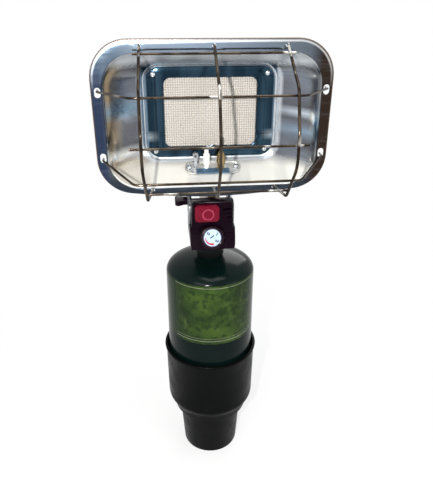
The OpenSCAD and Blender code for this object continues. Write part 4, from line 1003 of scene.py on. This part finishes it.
def on_dial(x, y, z=0.0):
    """A point on the face of the dial: x to the right, y up its slope, z out of it."""
    low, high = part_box("dial_plate")
    out = Vector((0, -math.cos(PANEL_LEAN), math.sin(PANEL_LEAN)))
    up = Vector((0, math.sin(PANEL_LEAN), math.cos(PANEL_LEAN)))
    return (low + high) / 2 + Vector((x, 0, 0)) + up * y + out * (z + DIAL_RAISE)


def patch(name, outline, finish):
    """A thin printed shape on the dial."""
    rings = [[on_dial(x, y, z) for x, y in outline] for z in (0.0, PRINT_THICK)]
    place(loft(name, rings, capped=True), "knob", "dial_print", finish=finish)


def digit(name, text, x, y, lean):
    """A printed numeral lying on the dial."""
    curve = set_up(bpy.data.curves.new(name, "FONT"), body=text, size=0.0046, align_x="CENTER",
                   align_y="CENTER", extrude=PRINT_THICK / 2, offset=0.00022, resolution_u=4)
    mesh = realized(new_object(name, curve))
    mesh.materials.clear()
    mesh.transform(Matrix.Rotation(math.radians(lean), 4, "Z"))
    for vertex in mesh.vertices:
        vertex.co = on_dial(x + vertex.co.x, y + vertex.co.y, vertex.co.z + 0.00005)
    edited(mesh, merged(1e-6), turned_out)
    place(new_object(name, mesh), "knob", "dial_print", finish=DIAL_INK)


def make_controls():
    """Knob, dial print, button, housing, yokes, cover and the clamp's wing, with edges broken."""
    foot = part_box("housing_front")[0].z
    for node, name, body, slot, *how in (
            ("control_knob", "knob_body", "knob", "knob_plastic", 0.00045),
            ("ignition_button", "button_body", "button", "red_plastic", 0.0004, 35.0, 3),
            ("housing_front", "housing_front_shell", "heater", "housing_plastic", 0.0008, 32.0, 3),
            ("housing_rear", "housing_rear_shell", "heater", "housing_plastic", 0.0008, 32.0, 3),
            ("wing_knob", "clamp_wing", "clamp", "knob_plastic", 0.0009, 35.0, 3),
            ("tilt_bracket", "tilt_yoke", "heater", "grey_sheet", 0.0003),
            ("head_bracket", "head_yoke", "head", "grey_sheet", 0.0002),
            ("rear_cover", "cover_pressing", "head", "black_paint", 0.0006, 28.0)):
        piece = softened(node, name, *how)
        if slot == "housing_plastic":
            draw_in(piece, foot, foot + 0.0115, 0.085)
        place(piece, body, slot, node)
    out_r, wide_r, taper, steps = 0.0076, 0.0069, 0.0016, 26
    outside = arc(0, 0, out_r, 176, 280, steps)
    inside = [Vector(p) * (wide_r - taper * i / steps) / out_r for i, p in enumerate(outside)]
    patch("dial_arc", outside + inside[::-1], DIAL_RED)
    patch("dial_pointer",
          [(-0.0026, 0.0002), (0.0014, 0.0030), (0.0021, 0.0020), (-0.0019, -0.0009)], DIAL_INK)
    digit("dial_nought", "0", -0.0038, 0.0042, 40)
    digit("dial_one", "1", 0.0048, 0.0036, -30)
    digit("dial_two", "2", 0.0046, -0.0034, -110)


# ---- Room, lamps and camera ----

def seen_white(tree, plain, white, output, fade=1.0):
    """Shows a white shader to the camera, in mirrors and through glass, and else the plain one."""
    rays = add_node(tree, "LightPath").outputs
    share = rays["Is Camera Ray"]
    for operation, other in (("MAXIMUM", rays["Is Glossy Ray"]),
                             ("MAXIMUM", rays["Is Transmission Ray"]), ("MULTIPLY", fade)):
        share = add_node(tree, "Math", {0: share, 1: other}, operation=operation).outputs[0]
    mix = add_node(tree, "MixShader", {0: share, 1: plain.outputs[0], 2: white.outputs[0]})
    add_node(tree, output, {"Surface": mix.outputs[0]})


def make_room():
    """Pale floor that fades to white away from the foot, and white surroundings."""
    half, level, white = 6, -0.0002, (1, 1, 1, 1)
    corners = [(x * half, y * half, level) for x, y in ((-1, -1), (1, -1), (1, 1), (-1, 1))]
    floor = new_object("floor", mesh_of("floor", corners, [(0, 1, 2, 3)]))
    material = bpy.data.materials.new("floor_white")
    material.use_nodes = True
    tree = material.node_tree
    tree.nodes.clear()
    place_on = add_node(tree, "TexCoord").outputs["Object"]
    away = add_node(tree, "VectorMath", {0: place_on}, operation="LENGTH").outputs["Value"]
    fade = add_node(tree, "MapRange", {"Value": away, "From Min": 0.10, "From Max": 0.45,
                                       "To Min": 0.74, "To Max": 1.0}).outputs["Result"]
    seen_white(tree, add_node(tree, "BsdfDiffuse", {"Color": (0.9, 0.9, 0.9, 1)}),
               add_node(tree, "Emission", {"Color": white}), "OutputMaterial", fade)
    floor.data.materials.append(material)

    world = bpy.data.worlds.new("studio")
    bpy.context.scene.world = world
    world.use_nodes = True
    tree = world.node_tree
    tree.nodes.clear()
    soft = add_node(tree, "Background", {"Color": (0.72, 0.74, 0.78, 1), "Strength": 0.33})
    seen_white(tree, soft, add_node(tree, "Background", {"Color": white}), "OutputWorld")


def make_lamps():
    """Square lamps aimed at the heater's middle; the small near one throws the wires' shadows."""
    middle = Vector((0, 0, 0.3))
    for name, spot, size, watts, colour in (
            ("key", (-0.9, -1.3, 1.5), 0.7, 8.0, (1, 0.97, 0.92)),
            ("near", (-0.126, -0.57, 0.57), 0.012, 4.0, (1, 0.98, 0.95)),
            ("fill", (1.3, -1.0, 0.7), 0.9, 4.5, (0.92, 0.95, 1)),
            ("top", (0.1, -0.2, 1.7), 0.8, 14, (1, 1, 1)),
            ("back", (0.5, 1.3, 1.0), 0.8, 8, (1, 1, 1))):
        light = set_up(bpy.data.lights.new(name, "AREA"), shape="RECTANGLE", size=size, size_y=size,
                       energy=watts, color=colour)
        turn = (middle - Vector(spot)).to_track_quat("-Z", "Y").to_euler()
        set_up(new_object(name, light), location=spot, rotation_euler=turn)


def make_camera():
    """The photograph's view: 541 mm out, 557 mm up, looking down 27 degrees."""
    out, height, azimuth, pitch, roll = 0.54127, 0.55694, -0.091, 0.4783, 0.0052
    heading, focal_px, tall_px, sensor = azimuth - 0.0133, 544.61, 500, 36
    spot = Vector((out * math.sin(azimuth), -out * math.cos(azimuth), height))
    forward = Vector((-math.sin(heading) * math.cos(pitch), math.cos(heading) * math.cos(pitch),
                      -math.sin(pitch)))
    right = Vector((math.cos(heading), math.sin(heading), 0))
    side = right * math.cos(roll) + right.cross(forward) * math.sin(roll)
    camera = new_object("camera", set_up(bpy.data.cameras.new("camera"), sensor_width=sensor,
                                         lens=focal_px / tall_px * sensor))
    turn = Matrix((side, side.cross(forward), -forward)).transposed().to_4x4()
    camera.matrix_world = Matrix.Translation(spot) @ turn
    bpy.context.scene.camera = camera


for make in (make_camera, make_room, make_lamps, make_cup, make_bottle, make_reflector,
             make_burner_frame, make_burner_tile, make_screws, make_guard, make_controls,
             make_button_spring):
    make()

bpy.context.scene.view_settings.view_transform = "Standard"
